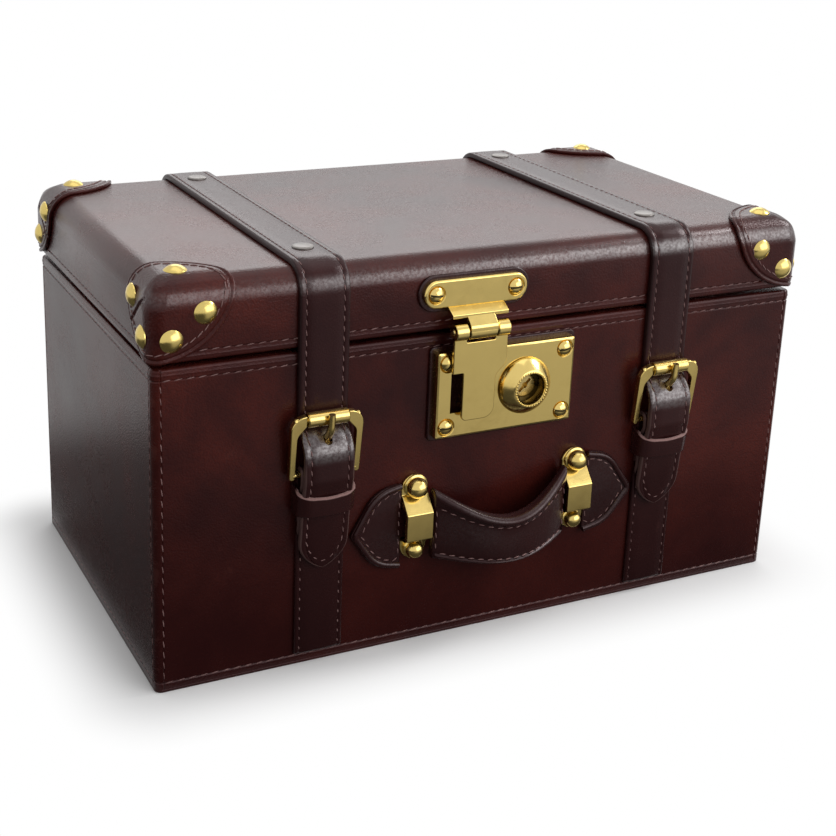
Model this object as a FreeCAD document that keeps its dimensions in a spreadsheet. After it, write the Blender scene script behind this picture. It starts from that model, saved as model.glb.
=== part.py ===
import FreeCAD, Part
import math
import os
import Sketcher
from FreeCAD import Rotation, Vector

# Driving sizes in millimetres, and one angle in degrees.
# The trunk stands on its base at z = 0, its front faces -Y and its width runs along X.
SIZES = {
    # Case: a board box covered outside in leather and lined inside
    "case_width": 305.0,
    "case_depth": 171.0,
    "rim_height": 138.5,
    "case_corner": 3.0,
    "skin": 1.5,
    "board": 6.0,
    "lining": 1.0,
    # Lid: the same build, with a thick top board that carries the rounded edges
    "seam_gap": 1.8,
    "lid_height": 31.7,
    "lid_round": 10.0,
    "lid_corner": 5.0,
    "lid_board": 6.0,
    "lid_top_board": 9.0,
    # Gaps: a sewn or seated piece, a moving piece, and a turning fit on its pin
    "seat": 0.1,
    "free_gap": 0.3,
    "turning": 0.05,
    # Leather corner caps on the lid and their domed studs
    "cap_skin": 1.8,
    "cap_reach_x": 31.0,
    "cap_reach_y": 29.0,
    "cap_reach_z": 30.5,
    "stud_radius": 4.7,
    "stud_rise": 3.2,
    "stud_shank": 1.2,
    "stud_high_in": 21.0,
    "stud_high_drop": 12.2,
    "stud_low_in": 7.5,
    "stud_low_drop": 22.2,
    "stud_top_in": 15.0,
    # Straps over the lid, with their tails, and the rivets on the lid's top
    "strap_spread": 82.5,
    "strap_width": 21.5,
    "strap_thick": 2.6,
    "strap_back_lift": 2.4,
    "tip_drop": 42.0,
    "tip_length": 9.0,
    "rivet_radius": 4.5,
    "rivet_rise": 1.0,
    "rivet_shank": 1.5,
    "rivet_spread": 64.0,
    # Base straps sewn up the front, folded round the buckle's bar
    "base_width": 21.0,
    "base_thick": 1.8,
    "base_foot": 1.0,
    "bar_height": 88.0,
    "fold_back": 21.5,
    # Keepers: leather loops that hold the tails down
    "keeper_width": 27.0,
    "keeper_thick": 1.6,
    "keeper_drop": 7.5,
    "keeper_tall": 10.0,
    "keeper_round": 5.0,
    # Roller buckles
    "bar_radius": 1.5,
    "roller_rise": 24.0,
    "roller_radius": 2.6,
    "roller_length": 17.5,
    "roller_rod": 1.4,
    "roller_room": 0.9,
    "frame_width": 31.5,
    "frame_side": 3.2,
    "frame_end": 4.4,
    "frame_deep": 2.8,
    "frame_round": 5.0,
    "prong_radius": 1.2,
    "prong_hub": 4.4,
    "tail_lift": 1.1,
    # Lock: a brass pan on a leather pad, with a sliding boss and its key plug
    "lock_width": 66.0,
    "lock_tall": 38.0,
    "lock_drop": 28.5,
    "pan_rise": 3.5,
    "pan_wall": 1.2,
    "pan_bevel": 0.8,
    "pad_margin": 1.8,
    "lock_screw_in": 5.0,
    "screw_radius": 3.2,
    "screw_rise": 1.7,
    "screw_shank": 1.5,
    "boss_side": 8.7,
    "boss_radius": 12.5,
    "boss_rise": 9.2,
    "boss_mouth": 7.3,
    "boss_stem": 6.5,
    "boss_travel": 5.0,
    "plug_radius": 5.25,
    "plug_sunk": 4.6,
    "key_slot_long": 7.4,
    "key_slot_wide": 1.3,
    "bolt_thick": 1.4,
    "bolt_tall": 17.0,
    # Hasp: plate and pad on the lid, leaf with a staple that drops into the lock
    "hasp_side": 15.5,
    "hasp_width": 48.0,
    "hasp_tall": 12.0,
    "hasp_rise": 16.3,
    "hasp_plate": 2.0,
    "hasp_screw_spread": 18.5,
    "hasp_pin_drop": 15.1,
    "hasp_pin_out": 8.0,
    "hasp_pin_radius": 1.25,
    "knuckle_radius": 3.2,
    "hasp_ledge": 26.0,
    "hasp_knuckle": 12.6,
    "leaf_width": 25.0,
    "leaf_thick": 1.8,
    "leaf_step": 17.9,
    "tongue_width": 15.2,
    "tongue_end": 38.9,
    "staple_width": 8.0,
    "staple_drop": 24.5,
    "staple_tall": 8.0,
    "staple_deep": 5.0,
    # Carrying handle: sewn tabs, brass brackets, ball studs and a drooping padded grip
    "handle_height": 57.0,
    "bracket_spread": 39.4,
    "bracket_width": 12.3,
    "bracket_rise": 8.0,
    "bracket_metal": 1.4,
    "tab_tip": 69.0,
    "tab_inner": 47.5,
    "tab_half": 17.5,
    "tab_thick": 2.5,
    "neck_half": 6.5,
    "upper_stud_radius": 5.2,
    "upper_stud_rise": 4.6,
    "upper_stud_up": 16.1,
    "lower_stud_radius": 4.3,
    "lower_stud_rise": 4.0,
    "lower_stud_down": 12.4,
    "grip_half": 32.4,
    "grip_end_tall": 28.0,
    "grip_end_out": 4.6,
    "grip_end_thick": 6.0,
    "grip_mid_tall": 20.0,
    "grip_mid_out": 16.0,
    "grip_mid_drop": 7.4,
    "grip_mid_thick": 8.5,
    # Piano hinge in the seam at the back
    "hinge_length": 272.0,
    "hinge_knuckles": 17,
    "hinge_back": 2.6,
    "hinge_barrel": 2.2,
    "hinge_pin": 1.0,
    "hinge_leaf_deep": 8.0,
    "hinge_leaf_gap": 0.2,
    "hinge_screw_head": 2.4,
    "hinge_screw_shank": 1.2,
    "hinge_screws": 6,
}


class Size:
    """A length that carries its value and the sheet expression that gives it."""

    def __init__(self, text, value):
        self.text = text
        self.value = value

    @staticmethod
    def of(thing):
        if isinstance(thing, Size):
            return thing
        return Size(f"({float(thing)})", float(thing))

    def joined(self, sign, other, value):
        return Size(f"({self.text} {sign} {other.text})", value)

    def __add__(self, other):
        other = Size.of(other)
        return self.joined("+", other, self.value + other.value)

    def __sub__(self, other):
        other = Size.of(other)
        return self.joined("-", other, self.value - other.value)

    def __mul__(self, other):
        other = Size.of(other)
        return self.joined("*", other, self.value * other.value)

    def __truediv__(self, other):
        other = Size.of(other)
        return self.joined("/", other, self.value / other.value)

    def __radd__(self, other):
        return Size.of(other) + self

    def __rsub__(self, other):
        return Size.of(other) - self

    def __rmul__(self, other):
        return Size.of(other) * self

    def __neg__(self):
        return Size(f"(-{self.text})", -self.value)

    def function(self, name, value):
        return Size(f"{name}({self.text})", value)


def root(size):
    return size.function("sqrt", math.sqrt(size.value))


def arc_sine(size):
    return size.function("asin", math.degrees(math.asin(size.value)))


def arc_tangent(size):
    return size.function("atan", math.degrees(math.atan(size.value)))


doc = FreeCAD.newDocument("leather_trunk")
sheet = doc.addObject("Spreadsheet::Sheet", "Sizes")
for row, (name, value) in enumerate(SIZES.items(), start=1):
    sheet.set(f"A{row}", name)
    sheet.set(f"B{row}", str(value))
    sheet.setAlias(f"B{row}", name)
doc.recompute()


class Sheet:
    """Gives each cell of the sheet as a Size, by its alias."""

    def __getattr__(self, alias):
        return Size(f"Sizes.{alias}", float(SIZES[alias]))


size = Sheet()
nodes = []

# Places that many pieces share
FRONT = -size.case_depth / 2
BACK = size.case_depth / 2
LID_BOTTOM = size.rim_height + size.seam_gap
LID_TOP = LID_BOTTOM + size.lid_height
OUTWARD = {
    "front": Rotation(Vector(0, 0, 1), Vector(0, -1, 0)),
    "back": Rotation(Vector(0, 0, 1), Vector(0, 1, 0)),
    "left": Rotation(Vector(0, 0, 1), Vector(-1, 0, 0)),
    "right": Rotation(Vector(0, 0, 1), Vector(1, 0, 0)),
    "up": Rotation(),
    "down": Rotation(Vector(1, 0, 0), 180),
}


# Drawing helpers


def bind(thing, **sizes):
    for prop, length in sizes.items():
        thing.setExpression(prop, Size.of(length).text)
    return thing


def place(thing, x=0, y=0, z=0, turn=None):
    if turn is not None:
        thing.Placement.Rotation = turn
    for axis, length in zip("xyz", (x, y, z)):
        thing.setExpression(f"Placement.Base.{axis}", Size.of(length).text)
    return thing


def node(thing, label):
    """Name a finished piece, so that it is written to its own file."""
    thing.Label = label
    nodes.append(thing)
    return thing


def new(kind, **sizes):
    return bind(doc.addObject(kind, kind.split("::")[1]), **sizes)


def box(low, high):
    spans = [Size.of(b) - a for a, b in zip(low, high)]
    solid = new("Part::Box", Length=spans[0], Width=spans[1], Height=spans[2])
    return place(solid, *low)


def gather(things):
    group = doc.addObject("Part::Compound", "Group")
    group.Links = things
    return group


def cut(base, *tools):
    result = doc.addObject("Part::Cut", "Cut")
    result.Base = base
    result.Tool = tools[0] if len(tools) == 1 else gather(list(tools))
    return result


def fuse(*things):
    result = doc.addObject("Part::MultiFuse", "Fuse")
    result.Shapes = list(things)
    return result


def common(*things):
    result = doc.addObject("Part::MultiCommon", "Common")
    result.Shapes = list(things)
    return result


def copy(master, x, y, z, turn):
    link = doc.addObject("App::Link", "Copy")
    link.LinkedObject = master
    return place(link, x, y, z, turn)


def new_body(x=0, y=0, z=0):
    return place(doc.addObject("PartDesign::Body", "Body"), x, y, z)


def origin_feature(body, role):
    return next(part for part in body.Origin.OriginFeatures if part.Role == role)


def new_sketch(body, plane, shift=0):
    """A sketch on one of the body's own planes: XY, XZ (seen from the front) or YZ."""
    sketch = body.newObject("Sketcher::SketchObject", "Sketch")
    sketch.AttachmentSupport = [(origin_feature(body, f"{plane}_Plane"), "")]
    sketch.MapMode = "FlatFace"
    sketch.setExpression("AttachmentOffset.Base.z", Size.of(shift).text)
    return sketch


def constrain(sketch, rules):
    first = sketch.ConstraintCount
    sketch.addConstraint([rule for rule, length in rules])
    for index, (rule, length) in enumerate(rules, start=first):
        if length is not None:
            sketch.setExpression(f"Constraints[{index}]", length.text)


def at_point(geometry, end, x, y):
    return [
        (Sketcher.Constraint("DistanceX", -1, 1, geometry, end, x.value), x),
        (Sketcher.Constraint("DistanceY", -1, 1, geometry, end, y.value), y),
    ]


def circle(sketch, x, y, radius):
    x, y, radius = Size.of(x), Size.of(y), Size.of(radius)
    ring = Part.Circle(Vector(x.value, y.value, 0), Vector(0, 0, 1), radius.value)
    index = sketch.addGeometry(ring)
    rules = at_point(index, 3, x, y)
    rules.append((Sketcher.Constraint("Radius", index, radius.value), radius))
    constrain(sketch, rules)
    return sketch


def rounded_corner(corner, before, after, radius):
    """The arc that rounds a corner, its two tangent points, and whether it turns left."""
    into = (corner - before).normalize()
    out = (after - corner).normalize()
    turn = math.atan2(into.x * out.y - into.y * out.x, into.dot(out))
    reach = radius * math.tan(abs(turn) / 2)
    start = corner - into * reach
    end = corner + out * reach
    left = turn > 0
    side = Vector(-into.y, into.x, 0) * (1 if left else -1)
    centre = start + side * radius
    first, last = (start, end) if left else (end, start)
    angles = [math.atan2(p.y - centre.y, p.x - centre.x) for p in (first, last)]
    arc = Part.ArcOfCircle(Part.Circle(centre, Vector(0, 0, 1), radius), *angles)
    return arc, start, end, left


def outline(sketch, corners, closed=True):
    """Straight runs between corners (x, y) or, rounded, (x, y, radius), all dimensioned."""
    corners = [tuple(Size.of(number) for number in corner) for corner in corners]
    spots = [Vector(corner[0].value, corner[1].value, 0) for corner in corners]
    count = len(corners)
    base = sketch.GeometryCount
    starts = list(spots)
    ends = list(spots)
    arcs = {}
    for index, corner in enumerate(corners):
        if len(corner) == 3:
            before = spots[index - 1]
            after = spots[(index + 1) % count]
            arc, ends[index], starts[index], left = rounded_corner(
                spots[index], before, after, corner[2].value
            )
            arcs[index] = (arc, left)
    runs = count if closed else count - 1
    lines = [Part.LineSegment(starts[i], ends[(i + 1) % count]) for i in range(runs)]
    sketch.addGeometry(lines)
    rules = []
    for index, corner in enumerate(corners):
        arriving = base + (index - 1) % count
        leaving = base + index
        if not closed and index == 0:
            rules += at_point(leaving, 1, *corner[:2])
        elif not closed and index == count - 1:
            rules += at_point(arriving, 2, *corner[:2])
        elif index not in arcs:
            rules.append((Sketcher.Constraint("Coincident", arriving, 2, leaving, 1), None))
            rules += at_point(leaving, 1, *corner[:2])
        else:
            arc, left = arcs[index]
            bend = sketch.addGeometry(arc)
            mark = sketch.addGeometry(Part.Point(spots[index]), True)
            first, last = (1, 2) if left else (2, 1)
            rules += at_point(mark, 1, *corner[:2])
            rules += [
                (Sketcher.Constraint("PointOnObject", mark, 1, arriving), None),
                (Sketcher.Constraint("PointOnObject", mark, 1, leaving), None),
                (Sketcher.Constraint("Tangent", arriving, 2, bend, first), None),
                (Sketcher.Constraint("Tangent", bend, last, leaving, 1), None),
                (Sketcher.Constraint("Radius", bend, corner[2].value), corner[2]),
            ]
    constrain(sketch, rules)
    return sketch


def rectangle(sketch, low_x, low_y, high_x, high_y, radius=None):
    corners = [(low_x, low_y), (high_x, low_y), (high_x, high_y), (low_x, high_y)]
    if radius is not None:
        corners = [corner + (radius,) for corner in corners]
    return outline(sketch, corners)


def centred(sketch, width, tall, radius=None, x=0, y=0):
    x, y = Size.of(x), Size.of(y)
    return rectangle(sketch, x - width / 2, y - tall / 2, x + width / 2, y + tall / 2, radius)


def pad(body, sketch, length, both=False, back=False):
    """Raise a sketch along its normal, to both sides alike, or backwards."""
    feature = body.newObject("PartDesign::Pad", "Pad")
    feature.Profile = sketch
    feature.SideType = "Symmetric" if both else "One side"
    feature.Reversed = back
    return bind(feature, Length=length)


def pocket(body, sketch, depth=None, along=False):
    """Cut a sketch right through, or to a depth against or along its normal."""
    feature = body.newObject("PartDesign::Pocket", "Pocket")
    feature.Profile = sketch
    feature.Reversed = along
    if depth is None:
        feature.SideType = "Symmetric"
        feature.Type = "ThroughAll"
        return feature
    return bind(feature, Length=depth)


def pipe(body, path, section):
    feature = body.newObject("PartDesign::AdditivePipe", "Pipe")
    feature.Profile = section
    feature.Spine = (path, [])
    return feature


def rod(radius, length, x, y, z):
    """A round bar along X, centred on its place."""
    bar = new("Part::Cylinder", Radius=radius, Height=length)
    return place(bar, x - length / 2, y, z, OUTWARD["right"])


def dome_stud(radius, rise, shank, depth):
    """A domed head on the plane z = 0, with a shank that goes down to the board behind."""
    sphere = (radius * radius + rise * rise) / (rise * 2)
    dome = new("Part::Sphere", Radius=sphere, Angle1=arc_sine((sphere - rise) / sphere))
    place(dome, z=rise - sphere)
    stem = place(new("Part::Cylinder", Radius=shank, Height=depth), z=-depth)
    return fuse(dome, stem)


# Case


def make_case(fasteners):
    skin = size.skin
    half_x = size.case_width / 2 - skin
    half_y = size.case_depth / 2 - skin
    inner_x = half_x - size.board
    inner_y = half_y - size.board
    floor = skin + size.board
    board_top = size.rim_height - skin

    base = new_body()
    plan = new_sketch(base, "XY")
    centred(plan, size.case_width, size.case_depth, size.case_corner)
    pad(base, plan, skin)
    node(base, "case_base_leather")

    wrap = new_body(z=skin)
    plan = new_sketch(wrap, "XY")
    centred(plan, size.case_width, size.case_depth, size.case_corner)
    pad(wrap, plan, size.rim_height - skin)
    boards = centred(new_sketch(wrap, "XY"), half_x * 2, half_y * 2)
    pocket(wrap, boards, board_top - skin, along=True)
    mouth = new_sketch(wrap, "XY")
    centred(mouth, (inner_x - size.lining) * 2, (inner_y - size.lining) * 2)
    pocket(wrap, mouth)
    node(cut(wrap, *fasteners), "case_leather")

    node(box((-half_x, -half_y, skin), (half_x, half_y, floor)), "case_bottom_board")
    walls = {
        "front": ((-half_x, -half_y), (half_x, -inner_y)),
        "back": ((-half_x, inner_y), (half_x, half_y)),
        "left": ((-half_x, -inner_y), (-inner_x, inner_y)),
        "right": ((inner_x, -inner_y), (half_x, inner_y)),
    }
    for name, (low, high) in walls.items():
        node(box(low + (floor,), high + (board_top,)), f"case_{name}_board")

    lining = new_body(z=floor)
    pad(lining, centred(new_sketch(lining, "XY"), inner_x * 2, inner_y * 2), board_top - floor)
    hollow = new_sketch(lining, "XY", size.lining)
    centred(hollow, (inner_x - size.lining) * 2, (inner_y - size.lining) * 2)
    pocket(lining, hollow, board_top - floor, along=True)
    node(lining, "case_lining")


# Lid


def lid_form(grow):
    """The lid's rounded block, grown outwards by a skin or, negative, shrunk to its core."""
    width = size.case_width + grow * 2
    depth = size.case_depth + grow * 2
    top = LID_TOP + grow
    low = LID_BOTTOM if grow.value >= 0 else LID_BOTTOM - grow
    edge = size.lid_round + grow

    def arched(span):
        low_corners = [(-span / 2, low), (span / 2, low)]
        return low_corners + [(span / 2, top, edge), (-span / 2, top, edge)]

    across = new_body()
    pad(across, outline(new_sketch(across, "YZ"), arched(depth)), width, both=True)
    along = new_body()
    pad(along, outline(new_sketch(along, "XZ"), arched(width)), depth, both=True)
    plan = new_body(z=low)
    pad(plan, centred(new_sketch(plan, "XY"), width, depth, size.lid_corner + grow), top - low)
    return common(across, along, plan)


def make_lid(fasteners):
    skin = size.skin
    half_x = size.case_width / 2 - skin
    half_y = size.case_depth / 2 - skin
    inner_x = half_x - size.lid_board
    inner_y = half_y - size.lid_board
    low = LID_BOTTOM + skin
    ceiling = LID_TOP - skin - size.lid_top_board
    mouth_x = inner_x - size.lining
    mouth_y = inner_y - size.lining

    outer = lid_form(Size.of(0))
    core = lid_form(-skin)
    mouth = box((-mouth_x, -mouth_y, LID_BOTTOM), (mouth_x, mouth_y, low))
    node(cut(outer, core, mouth, *fasteners), "lid_leather")

    spans = {
        "top": ((-half_x, -half_y, ceiling), (half_x, half_y, LID_TOP - skin)),
        "front": ((-half_x, -half_y, low), (half_x, -inner_y, ceiling)),
        "back": ((-half_x, inner_y, low), (half_x, half_y, ceiling)),
        "left": ((-half_x, -inner_y, low), (-inner_x, inner_y, ceiling)),
        "right": ((inner_x, -inner_y, low), (half_x, inner_y, ceiling)),
    }
    for name, span in spans.items():
        node(common(core, box(*span)), f"lid_{name}_board")

    lining = new_body(z=low)
    pad(lining, centred(new_sketch(lining, "XY"), inner_x * 2, inner_y * 2), ceiling - low)
    hollow = centred(new_sketch(lining, "XY"), mouth_x * 2, mouth_y * 2)
    pocket(lining, hollow, ceiling - low - size.lining, along=True)
    node(lining, "lid_lining")
    return outer


def corner_studs():
    """Five domed studs through each corner cap: two in front, two at the side, one on top."""
    depth = size.cap_skin + size.skin
    master = dome_stud(size.stud_radius, size.stud_rise, size.stud_shank, depth)
    face_x = size.case_width / 2 + size.cap_skin
    face_y = size.case_depth / 2 + size.cap_skin
    face_z = LID_TOP + size.cap_skin
    low_and_high = [
        (size.stud_high_in, LID_TOP - size.stud_high_drop),
        (size.stud_low_in, LID_TOP - size.stud_low_drop),
    ]
    studs = []
    for x_side, flank in ((-1, "left"), (1, "right")):
        for y_side, end in ((-1, "front"), (1, "back")):
            for inset, height in low_and_high:
                along_x = (size.case_width / 2 - inset) * x_side
                along_y = (size.case_depth / 2 - inset) * y_side
                studs.append(copy(master, along_x, face_y * y_side, height, OUTWARD[end]))
                studs.append(copy(master, face_x * x_side, along_y, height, OUTWARD[flank]))
            top_x = (size.case_width / 2 - size.stud_top_in) * x_side
            top_y = (size.case_depth / 2 - size.stud_top_in) * y_side
            studs.append(copy(master, top_x, top_y, face_z, OUTWARD["up"]))
    return node(gather(studs), "corner_studs")


def make_caps(lid_block, studs):
    grown = lid_form(size.cap_skin)
    shell = cut(grown, lid_block)
    for x_side, flank in ((-1, "left"), (1, "right")):
        for y_side, end in ((-1, "front"), (1, "back")):
            reach = new(
                "Part::Ellipsoid",
                Radius1=size.cap_reach_z,
                Radius2=size.cap_reach_x,
                Radius3=size.cap_reach_y,
            )
            place(reach, size.case_width / 2 * x_side, size.case_depth / 2 * y_side, LID_TOP)
            node(cut(common(shell, reach), studs), f"corner_cap_{end}_{flank}")


# Straps and buckles. "Out" is the distance in front of the trunk's front face.

STRAP_OUT = size.seat + size.strap_thick / 2
BASE_OUT = size.seat + size.base_thick / 2
BAR_OUT = size.seat * 2 + size.base_thick + size.bar_radius
FOLD_OUT = BAR_OUT + size.bar_radius + size.seat + size.base_thick / 2
TAIL_OUT = FOLD_OUT + size.base_thick / 2 + size.tail_lift + size.strap_thick / 2
ROLLER_OUT = STRAP_OUT + size.strap_thick / 2 + size.roller_room + size.roller_radius
ROLLER_HEIGHT = size.bar_height + size.roller_rise
KEEPER_HIGH = size.bar_height - size.keeper_drop
KEEPER_LOW = KEEPER_HIGH - size.keeper_tall
TIP_HEIGHT = size.bar_height - size.tip_drop
DOUBLED_OUT = BASE_OUT + size.base_thick + size.seat * 2
UNDER_KEEPER_OUT = DOUBLED_OUT + size.base_thick / 2 + size.free_gap * 3 + size.strap_thick / 2 + 0.1
TIP_OUT = BASE_OUT + size.base_thick / 2 + size.free_gap + size.strap_thick / 2 + 0.1
TAIL_LEAVES_BUCKLE = size.bar_height - 1.5
TAIL_MEETS_BASE = KEEPER_LOW + 1.5


def strap_rivets():
    """Flat rivets that hold each strap to the lid's top, near its front and back."""
    head = new("Part::Cylinder", Radius=size.rivet_radius, Height=size.rivet_rise)
    depth = size.strap_thick + size.seat + size.skin
    stem = new("Part::Cylinder", Radius=size.rivet_shank, Height=depth)
    master = fuse(head, place(stem, z=-depth))
    seat_z = LID_TOP + size.seat + size.strap_thick
    rivets = [
        copy(master, size.strap_spread * x_side, size.rivet_spread * y_side, seat_z, OUTWARD["up"])
        for x_side in (-1, 1)
        for y_side in (-1, 1)
    ]
    return node(gather(rivets), "strap_rivets")


def make_strap(x_side, name, rivets):
    """The strap over the lid, and its tail through the buckle and the keeper to the tip."""
    x = size.strap_spread * x_side
    out = STRAP_OUT
    bend = size.lid_round + out
    over = new_body(x=x)
    path = outline(
        new_sketch(over, "YZ"),
        [
            (FRONT - out, LID_BOTTOM),
            (FRONT - out, LID_TOP + out, bend),
            (BACK + out, LID_TOP + out, bend),
            (BACK + out, LID_BOTTOM + size.strap_back_lift),
        ],
        closed=False,
    )
    section = new_sketch(over, "XY", LID_BOTTOM)
    centred(section, size.strap_width, size.strap_thick, y=FRONT - out)
    pipe(over, path, section)
    node(cut(over, rivets), f"strap_{name}_top")

    tail = new_body(x=x, y=FRONT)
    start = LID_BOTTOM - size.seat
    path = outline(
        new_sketch(tail, "YZ"),
        [
            (-out, start),
            (-out, ROLLER_HEIGHT - 4.0, ROLLER_OUT - out),
            (-TAIL_OUT, ROLLER_HEIGHT - 13.0, 9.0),
            (-TAIL_OUT, TAIL_LEAVES_BUCKLE, 10.0),
            (-UNDER_KEEPER_OUT, TAIL_MEETS_BASE, 14.0),
            (-TIP_OUT, TIP_HEIGHT),
        ],
        closed=False,
    )
    section = centred(new_sketch(tail, "XY", start), size.strap_width, size.strap_thick, y=-out)
    pipe(tail, path, section)
    prong_hole = new_sketch(tail, "XZ")
    hole = size.prong_radius * 2
    centred(prong_hole, hole + 2.2, hole + 3.2, y=ROLLER_HEIGHT - 9.4)
    pocket(tail, prong_hole)
    half = size.strap_width / 2
    low = TIP_HEIGHT - size.free_gap
    for hand in (-1, 1):
        trim = outline(
            new_sketch(tail, "XZ"),
            [
                (0, low),
                (half * hand * 0.45, low + size.tip_length * 0.3, 7.0),
                (half * hand, low + size.tip_length),
                (half * hand * 1.2, low + size.tip_length),
                (half * hand * 1.2, low - size.free_gap),
                (0, low - size.free_gap),
            ],
        )
        pocket(tail, trim)
    node(tail, f"strap_{name}_tail")


def make_base_strap(x_side, name):
    """A strap sewn up the front, folded back on itself round the buckle's bar."""
    strap = new_body(x=size.strap_spread * x_side, y=FRONT)
    fold = size.bar_radius + size.seat + size.base_thick / 2
    fold_end = size.bar_height - size.fold_back
    path = outline(
        new_sketch(strap, "YZ"),
        [
            (-BASE_OUT, size.base_foot),
            (-BASE_OUT, fold_end - 6.5, 4.0),
            (-DOUBLED_OUT, fold_end - 1.5, 4.0),
            (-DOUBLED_OUT, size.bar_height - 10.0, 4.0),
            (-FOLD_OUT, size.bar_height - 4.0, 4.0),
            (-FOLD_OUT, size.bar_height + fold, fold * 0.98),
            (-BASE_OUT, size.bar_height + fold, fold * 0.98),
            (-BASE_OUT, fold_end),
        ],
        closed=False,
    )
    section = new_sketch(strap, "XY", size.base_foot)
    centred(section, size.base_width, size.base_thick, y=-BASE_OUT)
    pipe(strap, path, section)
    window = new_sketch(strap, "XZ")
    wide = size.prong_hub + size.free_gap * 2
    rectangle(window, -wide / 2, size.bar_height - 4.0, wide / 2, size.bar_height + fold * 2)
    pocket(strap, window)
    node(strap, f"base_strap_{name}")


def make_keeper(x_side, name):
    """A leather loop over the tail, pushed further out at its upper edge."""
    keeper = new_body(x=size.strap_spread * x_side, y=FRONT)
    half = size.keeper_width / 2
    thick = size.keeper_thick
    lean = (TAIL_OUT - UNDER_KEEPER_OUT) / (TAIL_LEAVES_BUCKLE - TAIL_MEETS_BASE)
    face = UNDER_KEEPER_OUT + size.strap_thick / 2 + size.free_gap * 2

    def arch(height):
        out = face + lean * (height - KEEPER_LOW) + thick
        inner = half - thick
        bend = size.keeper_round
        return outline(
            new_sketch(keeper, "XY", height),
            [
                (-half, -size.seat),
                (-half, -out, bend),
                (half, -out, bend),
                (half, -size.seat),
                (inner, -size.seat),
                (inner, thick - out, bend - thick),
                (-inner, thick - out, bend - thick),
                (-inner, -size.seat),
            ],
        )

    loft = keeper.newObject("PartDesign::AdditiveLoft", "Loft")
    loft.Profile = arch(KEEPER_LOW)
    loft.Sections = [arch(KEEPER_HIGH)]
    loft.Ruled = True
    node(keeper, f"keeper_{name}")


def make_buckle(x_side, name):
    """A roller buckle: a frame hinged on its bar, a roller on its far end, and a prong."""
    x = size.strap_spread * x_side
    lean_out = ROLLER_OUT - BAR_OUT
    length = root(size.roller_rise * size.roller_rise + lean_out * lean_out)
    frame = new_body(x=x, y=FRONT - BAR_OUT, z=size.bar_height)
    frame.Placement.Rotation = Rotation(Vector(1, 0, 0), 1)
    frame.setExpression("Placement.Rotation.Angle", arc_tangent(lean_out / size.roller_rise).text)
    half = size.frame_width / 2
    inner = half - size.frame_side
    end = size.frame_end / 2
    ring = new_sketch(frame, "XZ")
    rectangle(ring, -half, -end, half, length + end, size.frame_round)
    rectangle(ring, -inner, end, inner, length - end, size.frame_round - size.frame_side + 0.8)
    pad(frame, ring, size.frame_deep, both=True)
    roller_half = size.roller_length / 2 + size.free_gap
    waist = new_sketch(frame, "XZ")
    rectangle(waist, -roller_half, length - end * 1.2, roller_half, length + end * 1.2)
    rectangle(waist, -inner, -end * 1.2, inner, end * 1.2)
    pocket(frame, waist)
    for height, radius in ((Size.of(0), size.bar_radius), (length, size.roller_rod)):
        bar = circle(new_sketch(frame, "YZ"), 0, height, radius)
        pad(frame, bar, inner * 2 + size.frame_side, both=True)
    node(frame, f"buckle_{name}_frame")

    roller = new_body(x=x, y=FRONT - ROLLER_OUT, z=ROLLER_HEIGHT)
    ring = circle(new_sketch(roller, "YZ"), 0, 0, size.roller_radius)
    circle(ring, 0, 0, size.roller_rod + size.turning)
    pad(roller, ring, size.roller_length, both=True)
    node(roller, f"buckle_{name}_roller")

    prong = new_body(x=x, y=FRONT)
    hub = circle(new_sketch(prong, "YZ"), -BAR_OUT, size.bar_height, size.bar_radius + 1.0)
    pad(prong, hub, size.prong_hub, both=True)
    touch = size.roller_radius + size.prong_radius
    foot = size.bar_height + size.bar_radius + size.free_gap
    path = outline(
        new_sketch(prong, "YZ"),
        [
            (-BAR_OUT - 0.5, foot),
            (-BAR_OUT - 2.1, ROLLER_HEIGHT - 10.5, 12.0),
            (-ROLLER_OUT - touch - 1.0, ROLLER_HEIGHT + 1.0),
        ],
        closed=False,
    )
    section = circle(new_sketch(prong, "XY", foot), 0, -BAR_OUT - 0.5, size.prong_radius)
    pipe(prong, path, section)
    bore = new_sketch(prong, "YZ")
    pocket(prong, circle(bore, -BAR_OUT, size.bar_height, size.bar_radius + size.turning))
    node(prong, f"buckle_{name}_prong")


# Lock and hasp

PAN_OUT = size.skin
PAN_FACE_OUT = PAN_OUT + size.pan_rise
HASP_X = -size.hasp_side
HASP_HEIGHT = LID_BOTTOM + size.hasp_rise
HASP_PIN_HEIGHT = HASP_HEIGHT - size.hasp_pin_drop
LOCK_HEIGHT = HASP_PIN_HEIGHT - size.lock_drop
LEAF_STEP = HASP_PIN_HEIGHT - size.leaf_step
TONGUE_END = HASP_PIN_HEIGHT - size.tongue_end
STAPLE_HIGH = HASP_PIN_HEIGHT - size.staple_drop
STAPLE_LOW = STAPLE_HIGH - size.staple_tall


def lock_screws():
    master = dome_stud(
        size.screw_radius, size.screw_rise, size.screw_shank, size.pan_rise + size.skin * 2
    )
    across = size.lock_width / 2 - size.lock_screw_in
    up = size.lock_tall / 2 - size.lock_screw_in
    screws = [
        copy(master, across * i, FRONT - PAN_FACE_OUT, LOCK_HEIGHT + up * j, OUTWARD["front"])
        for i in (-1, 1)
        for j in (-1, 1)
    ]
    return node(gather(screws), "lock_screws")


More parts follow.
